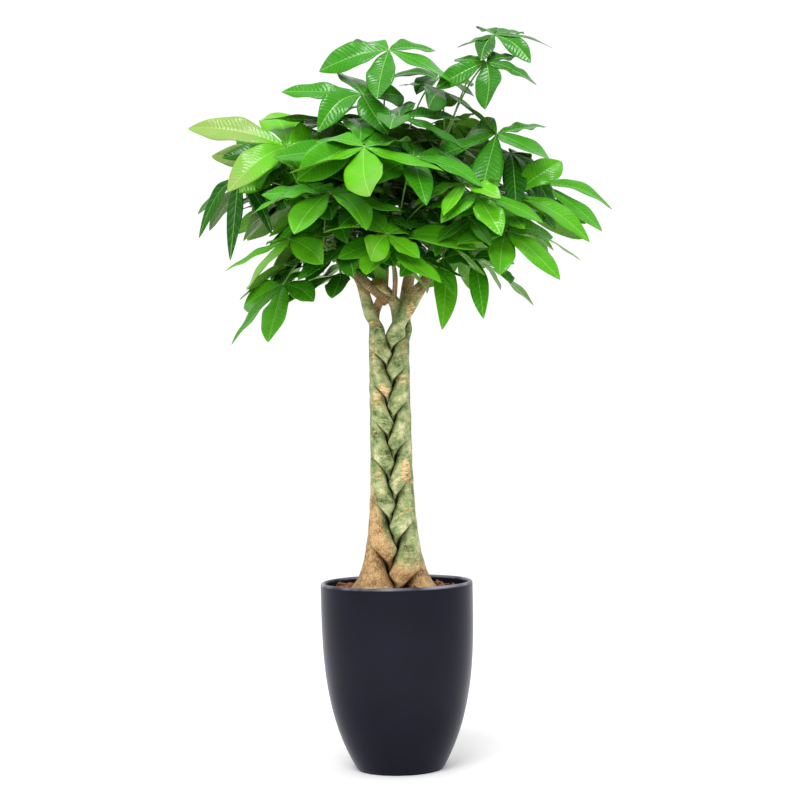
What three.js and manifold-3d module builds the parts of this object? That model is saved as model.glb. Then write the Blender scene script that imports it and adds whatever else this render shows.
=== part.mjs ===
// Potted money tree: five braided woody stems with leafy shoots, in a tall tapered pot.
// Millimetres, +Z up. The origin is the middle of the pot's foot, on the ground, and the tree's
// front, the side it is best seen from, faces -Y.

import * as THREE from 'three';
import { mergeVertices } from 'three/addons/utils/BufferGeometryUtils.js';
import Module from 'manifold-3d';

const wasm = await Module();
wasm.setup();

// ---------------------------------------------------------------- driving dimensions

const SEAT_GAP = 0.3; // between two pieces that touch
const CLEARANCE = 0.8; // between leaves that grow past each other

const POT = {
  height: 373, rim: 152, foot: 86, wall: 9, floor: 14, swell: 3.3, lip: 4.5,
  rows: 8, lipSteps: 3, segments: 36,
};
const SOIL = { top: 355, crown: 3, moundRadius: 100, inset: 1.1, rows: 7, segments: 32 };

const BRAID = {
  bottom: 292, soil: 358, crown: 850, // heights: stem feet, soil, where the stems part
  lobeTop: 842, lobePitch: 63, lobeGrowth: 2.8, // the topmost crossing and how far apart the rest lie
  reachX: 25, reachY: 27, radius: 19, // a strand's swing and its own radius, below the crown
  flare: 1.05, flareHeight: 70, // how much wider the foot is, and how fast that dies away
  offset: -4, // the braid's middle, beside the pot's
  groove: 2.6, softness: 8, // the gap between strands, and how round they stay
  sides: 8, step: 15,
};

const LEAF = {
  spread: 320, // degrees that the leaflets of one leaf cover
  halfWidth: 0.175, outerShare: 0.34, // of the length; how much shorter the outermost leaflets are
  thickness: 1.8, fold: 0.16, hub: 5.5, boss: 4, droop: 0.22,
  stations: [[0.4, 0.93], [0.76, 0.82]], // [share of length, share of half width]
};
const AXIS = { taper: 0.6, sides: 6, segments: 4 };
const STALK = { radii: [2.9, 1.7], sides: 3, segments: 3, highest: 0.98, apart: 0.09 };
const BENDS = [0, 8, -8, 16, -16, 25, -25, 36, -36]; // degrees a leaflet may turn to clear the rest
const BOWS = [0.2, 0.32, 0.08, -0.06, 0.45]; // how high a stalk may arch, of its length
const SEED = 20; // of the draws that vary the leaves in the back of the crown

// Above the braid each stem follows its own heights: [z, x, y, radius].
const CROWNS = [
  [[880, 12, -24, 16], [905, 27, -24, 16.5], [938, 47, -18, 16.5], [972, 68, -10, 14]],
  [[875, 27, 12, 15], [900, 26, 31, 14], [945, 32, 44, 13], [1008, 42, 52, 11]],
  [[875, 13, 9, 15], [900, 17, 4, 15], [924, 12, 0, 15], [946, -4, -12, 15], [974, -25, -20, 14.5]],
  [[880, -28, -26, 14], [905, -40, -20, 13], [940, -49, -8, 12], [985, -62, 2, 10]],
  [[880, -32, 30, 12], [908, -33, 31, 11], [950, -16, 30, 10], [1040, -8, 26, 8]],
];

// A woody arm runs from inside its stem to where its green shoot begins: points, then end radii.
// A shoot runs on to its tip. A leaf is [hub x, y, z, heading, pitch, roll, length, leaflets, droop]:
// heading and pitch say where its middle leaflet points, -90 being towards the front, and roll
// turns its face towards the side. extra = [more leaves, first heading, turn between them, reach].
const SHOOTS = [
  {
    name: 'left', stem: 4, arm: [[-58, 2, 972], [-84, -4, 1010], [-104, -8, 1045]], radii: [8, 5.5],
    tip: [-165, -16, 1150], extra: [1, 120, 0, 70],
    leaves: [[-198, -40, 1240, 184, 24, -38, 212, 5], [-298, -20, 1180, -100, -40, 0, 95, 5, 1.1],
      [-208, 25, 1205, 178, 24, -35, 160, 5]],
  },
  {
    name: 'left_front', stem: 4, arm: [[-60, 0, 978], [-84, -34, 996], [-102, -60, 1014]], radii: [7, 5],
    tip: [-135, -95, 1052], extra: [0, 0, 0, 0],
    leaves: [[-191, -150, 1048, -125, -28, 0, 150, 5], [-210, -60, 968, -140, -46, 0, 140, 6],
      [-110, -200, 1132, -112, -22, -10, 175, 7, 0.15], [-95, -70, 985, -165, -15, -10, 125, 5],
      [-112, 15, 1018, 178, -6, -25, 135, 5]],
  },
  {
    name: 'front_left', stem: 3, arm: [[-6, -14, 936], [-44, -32, 966], [-67, -38, 1000]], radii: [8.5, 7],
    tip: [-58, -70, 1110], extra: [0, 0, 0, 0],
    leaves: [[-42, -230, 1212, -86, -28, 0, 180, 5, 0.14], [-2, -240, 1046, -165, 8, -30, 125, 5, 0.12],
      [-52, -190, 1224, 170, 24, -25, 178, 5, 0.1]],
  },
  {
    name: 'front_right', stem: 3, arm: [[4, -6, 934], [10, -40, 966], [8, -62, 1000]], radii: [6, 4.5],
    tip: [20, -95, 1070], extra: [0, 0, 0, 0],
    leaves: [[8, -200, 1038, -30, -8, 20, 165, 6, 0.16], [146, -200, 1144, -115, -24, 0, 112, 5],
      [50, -180, 1195, -50, -28, 10, 150, 6]],
  },
  {
    name: 'middle_top', stem: 5, arm: [[-10, 27, 1020], [-8, 18, 1060], [-6, 8, 1095]], radii: [7.5, 6],
    tip: [-12, -20, 1270], extra: [2, 160, -140, 90],
    leaves: [[-45, -90, 1333, 178, 16, -35, 165, 5], [25, -110, 1285, -30, -18, 25, 160, 5],
      [8, -20, 1432, -100, -32, -8, 165, 5, 0.2]],
  },
  {
    name: 'back_top', stem: 5, arm: [[-10, 28, 1010], [-14, 48, 1050], [-6, 66, 1090]], radii: [6.5, 5],
    tip: [40, 80, 1270], extra: [3, 60, 55, 120],
    leaves: [[105, 50, 1385, 110, 30, 0, 120, 5]],
  },
  {
    name: 'right_top', stem: 2, arm: [[41, 51, 985], [50, 44, 1040], [60, 36, 1085]], radii: [8, 6],
    tip: [135, 10, 1300], extra: [0, 0, 0, 0],
    leaves: [[220, 20, 1465, -25, -14, 25, 120, 6], [200, -40, 1400, -95, -40, 0, 125, 5],
      [113, -30, 1347, -38, -28, 0, 145, 5]],
  },
  {
    name: 'right', stem: 1, arm: [[64, -11, 962], [86, -14, 1005], [104, -18, 1040]], radii: [9, 6],
    tip: [165, -35, 1140], extra: [0, 0, 0, 0],
    leaves: [[215, -95, 1250, -115, -34, 0, 160, 5], [245, -60, 1215, -60, -38, 0, 115, 6, 0.7],
      [310, 15, 1160, -8, -18, 25, 155, 6]],
  },
  {
    name: 'right_front', stem: 1, arm: [[62, -13, 958], [78, -46, 988], [92, -66, 1008]], radii: [7, 5],
    tip: [135, -95, 1052], extra: [0, 0, 0, 0],
    leaves: [[225, -150, 1055, -48, -26, 10, 155, 7], [240, -125, 1125, -25, -14, 20, 165, 5],
      [164, -190, 1123, -40, -22, 15, 140, 6], [104, -90, 1012, -95, -52, 0, 112, 3, 0.5],
      [165, -85, 1010, -80, -50, 0, 105, 3, 0.5]],
  },
  {
    name: 'back_left', stem: 4, arm: [[-59, 3, 975], [-84, 34, 1010], [-100, 58, 1040]], radii: [7, 5],
    tip: [-130, 110, 1190], extra: [5, 85, 48, 115], leaves: [],
  },
  {
    name: 'back', stem: 2, arm: [[40, 52, 990], [24, 88, 1030], [12, 108, 1062]], radii: [7, 5],
    tip: [-5, 165, 1215], extra: [5, 20, 45, 125], leaves: [],
  },
  {
    name: 'back_right', stem: 2, arm: [[41, 52, 996], [78, 74, 1032], [100, 88, 1060]], radii: [7, 5],
    tip: [140, 110, 1140], extra: [5, -25, 42, 115], leaves: [],
  },
];

const COLOURS = {
  pot: { color: 0x2d2d36, roughness: 0.42, metalness: 0 },
  soil: { color: 0x4a3424, roughness: 0.95, metalness: 0 },
  bark: { color: 0x7d7a55, roughness: 0.8, metalness: 0 },
  leaf: { color: 0x3f9a1e, roughness: 0.45, metalness: 0 },
};

// ---------------------------------------------------------------- small helpers

const radians = THREE.MathUtils.degToRad;
const vector = ([x, y, z]) => new THREE.Vector3(x, y, z);
const DOWN = new THREE.Vector3(0, 0, -1);

// Repeatable draws between 0 and 1.
function draws(seed) {
  let state = seed;
  return () => {
    state = (state * 16807) % 2147483647;
    return state / 2147483647;
  };
}

function solid(points, triangles) {
  const vertProperties = new Float32Array(points.flatMap((p) => [p.x, p.y, p.z]));
  const triVerts = new Uint32Array(triangles.flat());
  return new wasm.Manifold(new wasm.Mesh({ numProp: 3, vertProperties, triVerts }));
}

function solidOf(geometry) {
  geometry.deleteAttribute('normal');
  geometry.deleteAttribute('uv');
  const merged = mergeVertices(geometry, 1e-4);
  const vertProperties = new Float32Array(merged.attributes.position.array);
  const triVerts = new Uint32Array(merged.index.array);
  return new wasm.Manifold(new wasm.Mesh({ numProp: 3, vertProperties, triVerts }));
}

function named(name, body, colour) {
  const mesh = body.getMesh();
  const geometry = new THREE.BufferGeometry();
  geometry.setAttribute('position', new THREE.BufferAttribute(mesh.vertProperties, 3));
  geometry.setIndex(new THREE.BufferAttribute(mesh.triVerts, 1));
  geometry.computeVertexNormals();
  const object = new THREE.Mesh(geometry, new THREE.MeshStandardMaterial(colour));
  object.name = name;
  return object;
}

// A closed body through rings of equal count, anticlockwise seen from the far end, with flat ends.
function loft(rings) {
  const count = rings[0].length;
  const points = rings.flat();
  const triangles = [];
  for (let row = 0; row + 1 < rings.length; row++) {
    for (let i = 0; i < count; i++) {
      const a = row * count + i;
      const b = row * count + ((i + 1) % count);
      triangles.push([a, b, b + count], [a, b + count, a + count]);
    }
  }
  const last = (rings.length - 1) * count;
  for (let i = 1; i + 1 < count; i++) {
    triangles.push([0, i + 1, i], [last, last + i, last + i + 1]);
  }
  return solid(points, triangles);
}

// A round tube along a curve, its radius running evenly from the first to the second.
function tube(curve, radii, sides, segments) {
  const frames = curve.computeFrenetFrames(segments, false);
  const rings = [];
  for (let row = 0; row <= segments; row++) {
    const share = row / segments;
    const centre = curve.getPointAt(share);
    const radius = THREE.MathUtils.lerp(radii[0], radii[1], share);
    rings.push(Array.from({ length: sides }, (_, i) => {
      const turn = (2 * Math.PI * i) / sides;
      return centre.clone()
        .addScaledVector(frames.normals[row], radius * Math.cos(turn))
        .addScaledVector(frames.binormals[row], radius * Math.sin(turn));
    }));
  }
  return loft(rings);
}

const union = (bodies) => bodies.reduce((sum, body) => sum.add(body));

// ---------------------------------------------------------------- pot and soil

// The pot's outside is nearly straight at the rim and swells in towards the foot.
function potRadius(z) {
  const taper = (1 - z / POT.height) ** POT.swell;
  return POT.rim - (POT.rim - POT.foot) * taper;
}

function potWall(inset, from, to, rows) {
  return Array.from({ length: rows + 1 }, (_, i) => {
    const z = THREE.MathUtils.lerp(from, to, (i / rows) ** 1.5);
    return new THREE.Vector2(potRadius(z) - inset, z);
  });
}

function makePot() {
  const shoulder = POT.height - POT.lip;
  const outer = potWall(0, 0, shoulder, POT.rows);
  const inner = potWall(POT.wall, POT.floor, shoulder, POT.rows).reverse();
  const middle = POT.rim - POT.wall / 2;
  const lip = Array.from({ length: POT.lipSteps }, (_, i) => {
    const turn = (Math.PI * (i + 1)) / (POT.lipSteps + 1);
    return new THREE.Vector2(
      middle + (POT.wall / 2) * Math.cos(turn), shoulder + POT.lip * Math.sin(turn));
  });
  const axis = (z) => new THREE.Vector2(0, z);
  const profile = [axis(0), ...outer, ...lip, ...inner, axis(POT.floor)];
  return solidOf(new THREE.LatheGeometry(profile, POT.segments).rotateX(Math.PI / 2));
}

// The soil fills the pot to a little below the lip, and rises a little round the stems.
function makeSoil(feet) {
  const bottom = POT.floor + SEAT_GAP;
  const crown = SOIL.top + SOIL.crown;
  const profile = [
    new THREE.Vector2(0, bottom),
    ...potWall(POT.wall + SOIL.inset, bottom, SOIL.top, SOIL.rows),
    new THREE.Vector2(SOIL.moundRadius, crown),
    new THREE.Vector2(0, crown),
  ];
  const fill = solidOf(new THREE.LatheGeometry(profile, SOIL.segments).rotateX(Math.PI / 2));
  return fill.subtract(hole(feet, crown + 1));
}

const turnOf = (p, q, r) => (q.x - p.x) * (r.y - p.y) - (q.y - p.y) * (r.x - p.x);

// The convex outline of some points, anticlockwise.
function outlineOf(points) {
  const halfOf = (sorted) => {
    const kept = [];
    for (const point of sorted) {
      while (kept.length > 1 && turnOf(kept.at(-2), kept.at(-1), point) <= 0) kept.pop();
      kept.push(point);
    }
    return kept.slice(0, -1);
  };
  const sorted = [...points].sort((p, q) => p.x - q.x || p.y - q.y);
  return [...halfOf(sorted), ...halfOf(sorted.reverse())];
}

// A plain hole round the feet of the stems: their convex outline, let out by the seat gap.
function hole(feet, top) {
  const outline = outlineOf(feet);
  const middle = outline.reduce((sum, p) => sum.add(p), new THREE.Vector3()).divideScalar(outline.length);
  const ring = (z) => outline.map((p) => {
    const out = p.clone().sub(middle).setZ(0);
    return middle.clone().addScaledVector(out, 1 + (2 * SEAT_GAP) / out.length()).setZ(z);
  });
  return loft([ring(BRAID.bottom - SEAT_GAP), ring(top)]);
}

// ---------------------------------------------------------------- the braid

// How many crossings lie above this height; they grow further apart downwards.
function crossings(z) {
  const depth = BRAID.lobeTop - z;
  const root = Math.sqrt(BRAID.lobePitch ** 2 + 4 * BRAID.lobeGrowth * depth);
  return (root - BRAID.lobePitch) / (2 * BRAID.lobeGrowth);
}

// Where a strand is in the braid: [x, y, radius]. It swings once from side to side while it goes
// twice from front to back, so that at the front every strand climbs outwards from the middle.
function inBraid(strand, z) {
  const turn = (2 * Math.PI * (strand - crossings(z))) / CROWNS.length;
  const size = 1 + BRAID.flare * Math.exp((BRAID.soil - z) / BRAID.flareHeight);
  return [
    BRAID.offset + size * BRAID.reachX * Math.sin(turn),
    -size * BRAID.reachY * Math.sin(2 * turn),
    size * BRAID.radius,
  ];
}

// The same above the braid, on a smooth curve through the strand's own heights.
function inCrown(strand, z) {
  const start = BRAID.crown - BRAID.step;
  const rows = [start, BRAID.crown].map((low) => [low, ...inBraid(strand, low)]);
  rows[1][3] = rows[0][3];
  rows.push(...CROWNS[strand]);
  let i = rows.findIndex((row) => row[0] >= z);
  i = Math.min(Math.max(i, 1), rows.length - 1);
  const [before, from, to, after] = [rows[Math.max(i - 2, 0)], rows[i - 1], rows[i], rows[i + 1] ?? rows[i]];
  const share = (z - from[0]) / (to[0] - from[0]);
  return [1, 2, 3].map((k) => {
    const slopeFrom = (to[k] - before[k]) / (to[0] - before[0]);
    const slopeTo = (after[k] - from[k]) / (after[0] - from[0]);
    const rise = to[0] - from[0];
    const s2 = share * share;
    const s3 = s2 * share;
    return (2 * s3 - 3 * s2 + 1) * from[k] + (s3 - 2 * s2 + share) * rise * slopeFrom
      + (3 * s2 - 2 * s3) * to[k] + (s3 - s2) * rise * slopeTo;
  });
}

function strandAt(strand, z) {
  if (z <= BRAID.soil) return inBraid(strand, BRAID.soil);
  return z <= BRAID.crown ? inBraid(strand, z) : inCrown(strand, z);
}

const topOf = (strand) => CROWNS[strand].at(-1)[0];

// How hard a neighbour presses on a strand in one direction: the inverse of the free reach.
function pressure(strand, other, z, turn) {
  if (z > topOf(other)) return 0;
  const [x, y, radius] = strandAt(strand, z);
  const [ox, oy, otherRadius] = strandAt(other, z);
  const apart = Math.hypot(ox - x, oy - y);
  const facing = ((ox - x) * Math.cos(turn) + (oy - y) * Math.sin(turn)) / apart;
  const share = (apart * radius) / (radius + otherRadius) - BRAID.groove / 2;
  return Math.max(facing, 0) / share;
}

// A strand's level slice: a circle pressed flat against each neighbour, halfway between them. The
// firmest press within half a step counts, so that the flat faces between slices stay clear too.
function slice(strand, z) {
  const [x, y, radius] = strandAt(strand, z);
  const others = [...CROWNS.keys()].filter((other) => other !== strand);
  return Array.from({ length: BRAID.sides }, (_, i) => {
    const turn = (2 * Math.PI * i) / BRAID.sides;
    const presses = others.map((other) => Math.max(
      ...[-0.5, 0, 0.5].map((part) => pressure(strand, other, z + part * BRAID.step, turn))));
    const press = [1 / radius, ...presses].reduce((sum, p) => sum + p ** BRAID.softness, 0);
    const reach = press ** (-1 / BRAID.softness);
    return new THREE.Vector3(x + reach * Math.cos(turn), y + reach * Math.sin(turn), z);
  });
}

function makeStem(strand) {
  const top = topOf(strand);
  const steps = Math.round((top - BRAID.soil) / BRAID.step);
  const heights = Array.from({ length: steps + 1 },
    (_, i) => THREE.MathUtils.lerp(BRAID.soil, top, i / steps));
  return loft([BRAID.bottom, ...heights].map((z) => slice(strand, z)));
}

function makeArm({ arm, radii }) {
  return tube(new THREE.CatmullRomCurve3(arm.map(vector)), radii, 6, 4);
}

// ---------------------------------------------------------------- leaves

const leafFrom = ([x, y, z, heading, pitch, roll, length, leaflets, droop = LEAF.droop]) => (
  { hub: new THREE.Vector3(x, y, z), heading, pitch, roll, length, leaflets, droop });

// A leaf's own upright, the turn between its leaflets, and the direction at a turn from the middle.
function leafPlane(leaf) {
  const [heading, pitch, roll] = [leaf.heading, leaf.pitch, leaf.roll].map(radians);
  const forward = new THREE.Vector3(
    Math.cos(pitch) * Math.cos(heading), Math.cos(pitch) * Math.sin(heading), Math.sin(pitch));
  const side = new THREE.Vector3(-Math.sin(heading), Math.cos(heading), 0).applyAxisAngle(forward, roll);
  const up = new THREE.Vector3().crossVectors(forward, side);
  const step = radians(LEAF.spread) / leaf.leaflets;
  const directionAt = (turn) => forward.clone().multiplyScalar(Math.cos(turn))
    .addScaledVector(side, Math.sin(turn));
  return { up, step, directionAt };
}

// One leaflet's rows of [left, ridge, right, keel], the first of them on the hub's rim, and its tip.
// It is bent up or down at the hub by so many degrees, and droops with the square of the way out.
function leaflet(leaf, index, bend) {
  const { up, step, directionAt } = leafPlane(leaf);
  const middle = (leaf.leaflets - 1) / 2;
  const turn = (index - middle) * step;
  const reach = leaf.length * (1 - LEAF.outerShare * (Math.abs(index - middle) / middle) ** 1.5);
  const flat = directionAt(turn);
  const across = new THREE.Vector3().crossVectors(up, flat);
  const along = flat.clone().applyAxisAngle(across, -radians(bend));
  const lift = up.clone().applyAxisAngle(across, -radians(bend));
  const at = (share) => leaf.hub.clone().addScaledVector(along, reach * share)
    .addScaledVector(DOWN, leaf.droop * reach * share ** 2);
  const rowAt = ([share, width]) => {
    const half = leaf.length * LEAF.halfWidth * width;
    const edge = (sign) => at(share).addScaledVector(across, sign * half)
      .addScaledVector(lift, LEAF.fold * half);
    const face = (sign) => at(share).addScaledVector(lift, (sign * LEAF.thickness) / 2);
    return [edge(-1), face(1), edge(1), face(-1)];
  };
  const rim = (sign) => leaf.hub.clone().addScaledVector(directionAt(turn + (sign * step) / 2), LEAF.hub);
  const face = (sign) => leaf.hub.clone().addScaledVector(flat, LEAF.hub)
    .addScaledVector(up, (sign * LEAF.thickness) / 2);
  return { rows: [[rim(-1), face(1), rim(1), face(-1)], ...LEAF.stations.map(rowAt)], tip: at(1) };
}

// The faces of a leaflet whose vertices start at `first`, its tip coming last. The two corners on
// the rim may be vertices of the hub. Both faces of the blade are split alike.
function leafletFaces(first, rows, [left, right] = [first, first + 2]) {
  const vertex = (row, i) => (row === 0 && i % 2 === 0 ? [left, right][i / 2] : first + 4 * row + i);
  const faces = [];
  for (let row = 0; row + 1 < rows; row++) {
    for (let i = 0; i < 4; i++) {
      const next = (i + 1) % 4;
      const [a, b, c, d] = [vertex(row, i), vertex(row, next), vertex(row + 1, next), vertex(row + 1, i)];
      faces.push(...(i % 2 === 0 ? [[a, c, b], [a, d, c]] : [[a, d, b], [b, d, c]]));
    }
  }
  const tip = first + 4 * rows;
  for (let i = 0; i < 4; i++) faces.push([vertex(rows - 1, i), tip, vertex(rows - 1, (i + 1) % 4)]);
  return faces;
}

// A leaflet by itself, closed at its base, to try whether it clears its neighbours.
function loneLeaflet(leaf, index, bend) {
  const { rows, tip } = leaflet(leaf, index, bend);
  return solid([...rows.flat(), tip], [...leafletFaces(0, rows.length), [0, 1, 3], [1, 2, 3]]);
}

// A leaf as one body: its leaflets round a small hub whose rim they share. A bend of null leaves
// that leaflet out.
function makeLeaf(leaf, bends) {
  const { up, step, directionAt } = leafPlane(leaf);
  const count = leaf.leaflets;
  const points = Array.from({ length: count + 1 }, (_, i) => leaf.hub.clone()
    .addScaledVector(directionAt((i - count / 2) * step), LEAF.hub));
  const top = points.push(leaf.hub.clone().addScaledVector(up, LEAF.thickness / 2)) - 1;
  const boss = points.push(leaf.hub.clone().addScaledVector(up, -LEAF.boss)) - 1;
  const faces = [[top, count, 0], [boss, 0, count]];
  bends.forEach((bend, i) => {
    if (bend === null) {
      faces.push([top, i, i + 1], [boss, i + 1, i]);
      return;
    }
    const { rows, tip } = leaflet(leaf, i, bend);
    const first = points.length;
    points.push(...rows.flat(), tip);
    faces.push(...leafletFaces(first, rows.length, [i, i + 1]));
    faces.push([top, i, first + 1], [top, first + 1, i + 1]);
    faces.push([boss, first + 3, i], [boss, i + 1, first + 3]);
  });
  const geometry = new THREE.BufferGeometry();
  const corners = faces.flat().flatMap((i) => points[i].toArray());
  geometry.setAttribute('position', new THREE.Float32BufferAttribute(corners, 3));
  return solidOf(geometry);
}

const bareHub = (leaf) => makeLeaf(leaf, Array(leaf.leaflets).fill(null));

// ---------------------------------------------------------------- shoots

// More leaves round a shoot's tip, by an even turn with small draws.
function moreLeaves(shoot, draw) {
  const [count, first, turn, reach] = shoot.extra;
  return Array.from({ length: count }, (_, i) => {
    const heading = first + turn * i + 20 * (draw() - 0.5);
    const away = reach * (0.75 + 0.5 * draw());
    const rise = 70 * (draw() - 0.25);
    const [x, y, z] = shoot.tip;
    const [outX, outY] = [away * Math.cos(radians(heading)), away * Math.sin(radians(heading))];
    const [pitch, roll, length] = [-16 - 14 * draw(), 40 * (draw() - 0.5), 140 + 30 * draw()];
    return [x + outX, y + outY, z + rise, heading, pitch, roll, length, 6];
  });
}

// A shoot's green axis goes on from the end of its woody arm, a seat gap further.
function axisCurve(shoot) {
  const [before, end] = shoot.arm.slice(-2).map(vector);
  const onward = end.clone().sub(before).normalize();
  const start = end.clone().addScaledVector(onward, SEAT_GAP);
  const tip = vector(shoot.tip);
  const control = start.clone().addScaledVector(onward, start.distanceTo(tip) / 2);
  return new THREE.QuadraticBezierCurve3(start, control, tip);
}

function makeAxis(shoot) {
  const radius = shoot.radii[1];
  return tube(axisCurve(shoot), [radius, radius * AXIS.taper], AXIS.sides, AXIS.segments);
}

// A leaf stalk arches from the shoot's axis into the boss under the leaf's hub.
function makeStalk(shoot, leaf, order, bow) {
  const start = axisCurve(shoot).getPointAt(STALK.highest - STALK.apart * order);
  const end = leaf.hub.clone().addScaledVector(leafPlane(leaf).up, -LEAF.boss / 4);
  const middle = start.clone().lerp(end, 0.5).addScaledVector(DOWN, -bow * start.distanceTo(end));
  const curve = new THREE.QuadraticBezierCurve3(start, middle, end);
  return tube(curve, STALK.radii, STALK.sides, STALK.segments);
}

// Pieces that later pieces have to clear, each with the shoot and the leaf that it belongs to.
const placed = [];

function place(body, shoot, leaf) {
  placed.push({ body, shoot, leaf, box: body.boundingBox() });
}

const boxesNear = (a, b) => [0, 1, 2].every(
  (k) => a.min[k] - CLEARANCE < b.max[k] && b.min[k] - CLEARANCE < a.max[k]);

function clears(body, isOwn) {
  const box = body.boundingBox();
  return placed.every((other) => isOwn(other) || !boxesNear(box, other.box)
    || body.minGap(other.body, 2 * CLEARANCE) >= CLEARANCE);
}

// The first choice whose body clears all that is placed, and null where none does.
function firstClear(choices, make, isOwn) {
  for (const choice of choices) {
    const body = make(choice);
    if (clears(body, isOwn)) return { choice, body };
  }
  return null;
}

function growStalk(shoot, leaf, order) {
  const isOwn = (other) => other.shoot === shoot;
  const found = firstClear(BOWS, (bow) => makeStalk(shoot, leaf, order, bow), isOwn);
  if (!found) throw new Error(`${shoot.name}: stalk ${order} finds no way`);
  place(found.body, shoot, leaf);
  place(bareHub(leaf), shoot, leaf);
  return found.body;
}

// A leaflet that no bend clears is left out, as a leaf in a thick crown loses one.
function growLeaf(shoot, leaf) {
  const isOwn = (other) => other.leaf === leaf;
  const bends = Array.from({ length: leaf.leaflets }, (_, i) => {
    const found = firstClear(BENDS, (bend) => loneLeaflet(leaf, i, bend), isOwn);
    if (found) place(found.body, shoot, leaf);
    return found ? found.choice : null;
  });
  return makeLeaf(leaf, bends);
}

// ---------------------------------------------------------------- assembly

const strands = [...CROWNS.keys()];
const stems = strands.map((strand) => {
  const arms = SHOOTS.filter((shoot) => shoot.stem === strand + 1).map(makeArm);
  return union([makeStem(strand), ...arms]);
});
stems.forEach((body) => place(body));

// Axes first, then every stalk, and then the leaflets, which give way to all of them.
const draw = draws(SEED);
const leavesOf = SHOOTS.map((shoot) => [...shoot.leaves, ...moreLeaves(shoot, draw)].map(leafFrom));
const axes = SHOOTS.map(makeAxis);
axes.forEach((body, i) => place(body, SHOOTS[i]));
const stalks = SHOOTS.map((shoot, i) => leavesOf[i].map((leaf, order) => growStalk(shoot, leaf, order)));
const leaves = SHOOTS.map((shoot, i) => leavesOf[i].map((leaf) => growLeaf(shoot, leaf)));

const group = new THREE.Group();
group.add(named('pot', makePot(), COLOURS.pot));
group.add(named('soil', makeSoil(strands.flatMap((strand) => slice(strand, BRAID.soil))), COLOURS.soil));
stems.forEach((body, i) => group.add(named(`stem_${i + 1}`, body, COLOURS.bark)));
SHOOTS.forEach((shoot, i) => {
  const body = union([axes[i], ...stalks[i], ...leaves[i]]);
  group.add(named(`shoot_${shoot.name}`, body, COLOURS.leaf));
});

export default group;
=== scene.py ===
import bpy
import numpy as np
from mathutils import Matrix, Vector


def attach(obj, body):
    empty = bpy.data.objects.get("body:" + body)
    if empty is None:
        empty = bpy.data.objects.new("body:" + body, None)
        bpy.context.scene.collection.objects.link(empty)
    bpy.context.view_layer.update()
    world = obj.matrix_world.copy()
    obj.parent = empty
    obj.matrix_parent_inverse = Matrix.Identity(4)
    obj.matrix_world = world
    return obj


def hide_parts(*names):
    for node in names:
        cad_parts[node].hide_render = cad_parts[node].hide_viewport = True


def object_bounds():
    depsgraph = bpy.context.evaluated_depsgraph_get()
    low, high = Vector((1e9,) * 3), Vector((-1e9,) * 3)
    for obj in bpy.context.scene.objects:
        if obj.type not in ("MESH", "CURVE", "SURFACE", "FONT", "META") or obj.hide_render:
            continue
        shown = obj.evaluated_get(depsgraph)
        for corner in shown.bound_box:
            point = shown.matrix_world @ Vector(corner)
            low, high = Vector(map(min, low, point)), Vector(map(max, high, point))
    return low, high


bl_info = {
    "name": "Potted money tree",
    "version": (1, 0, 0),
    "blender": (4, 5, 0),
    "location": "View3D > Sidebar > Money tree",
    "description": "Builds a braided money tree with its leafy crown, pot and soil",
    "category": "Add Mesh",
}

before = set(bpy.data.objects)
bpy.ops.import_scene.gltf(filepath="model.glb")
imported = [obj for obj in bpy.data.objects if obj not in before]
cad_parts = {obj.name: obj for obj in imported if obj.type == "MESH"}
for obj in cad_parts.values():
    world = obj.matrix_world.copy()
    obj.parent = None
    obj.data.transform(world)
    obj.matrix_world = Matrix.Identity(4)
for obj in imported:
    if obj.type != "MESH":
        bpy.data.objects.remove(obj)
CAD_BOX = [list(corner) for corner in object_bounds()]
MM = 0.001
BASE, OVER, MIXED = 6, 7, 2  # the numbers of a colour Mix node's two colours and of its result

# ------------------------------------------------------------------ the plant's own plan, in mm

# Above the braid each stem runs through its own points: height, x, y, radius.
CROWNS = (
    ((880, 12, -24, 16), (905, 27, -24, 16.5), (938, 47, -18, 16.5), (972, 68, -10, 14)),
    ((875, 27, 12, 15), (900, 26, 31, 14), (945, 32, 44, 13), (1008, 42, 52, 11)),
    ((875, 13, 9, 15), (900, 17, 4, 15), (924, 12, 0, 15), (946, -4, -12, 15), (974, -25, -20, 14.5)),
    ((880, -28, -26, 14), (905, -40, -20, 13), (940, -49, -8, 12), (985, -62, 2, 10)),
    ((880, -32, 30, 12), (908, -33, 31, 11), (950, -16, 30, 10), (1040, -8, 26, 8)),
)

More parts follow.
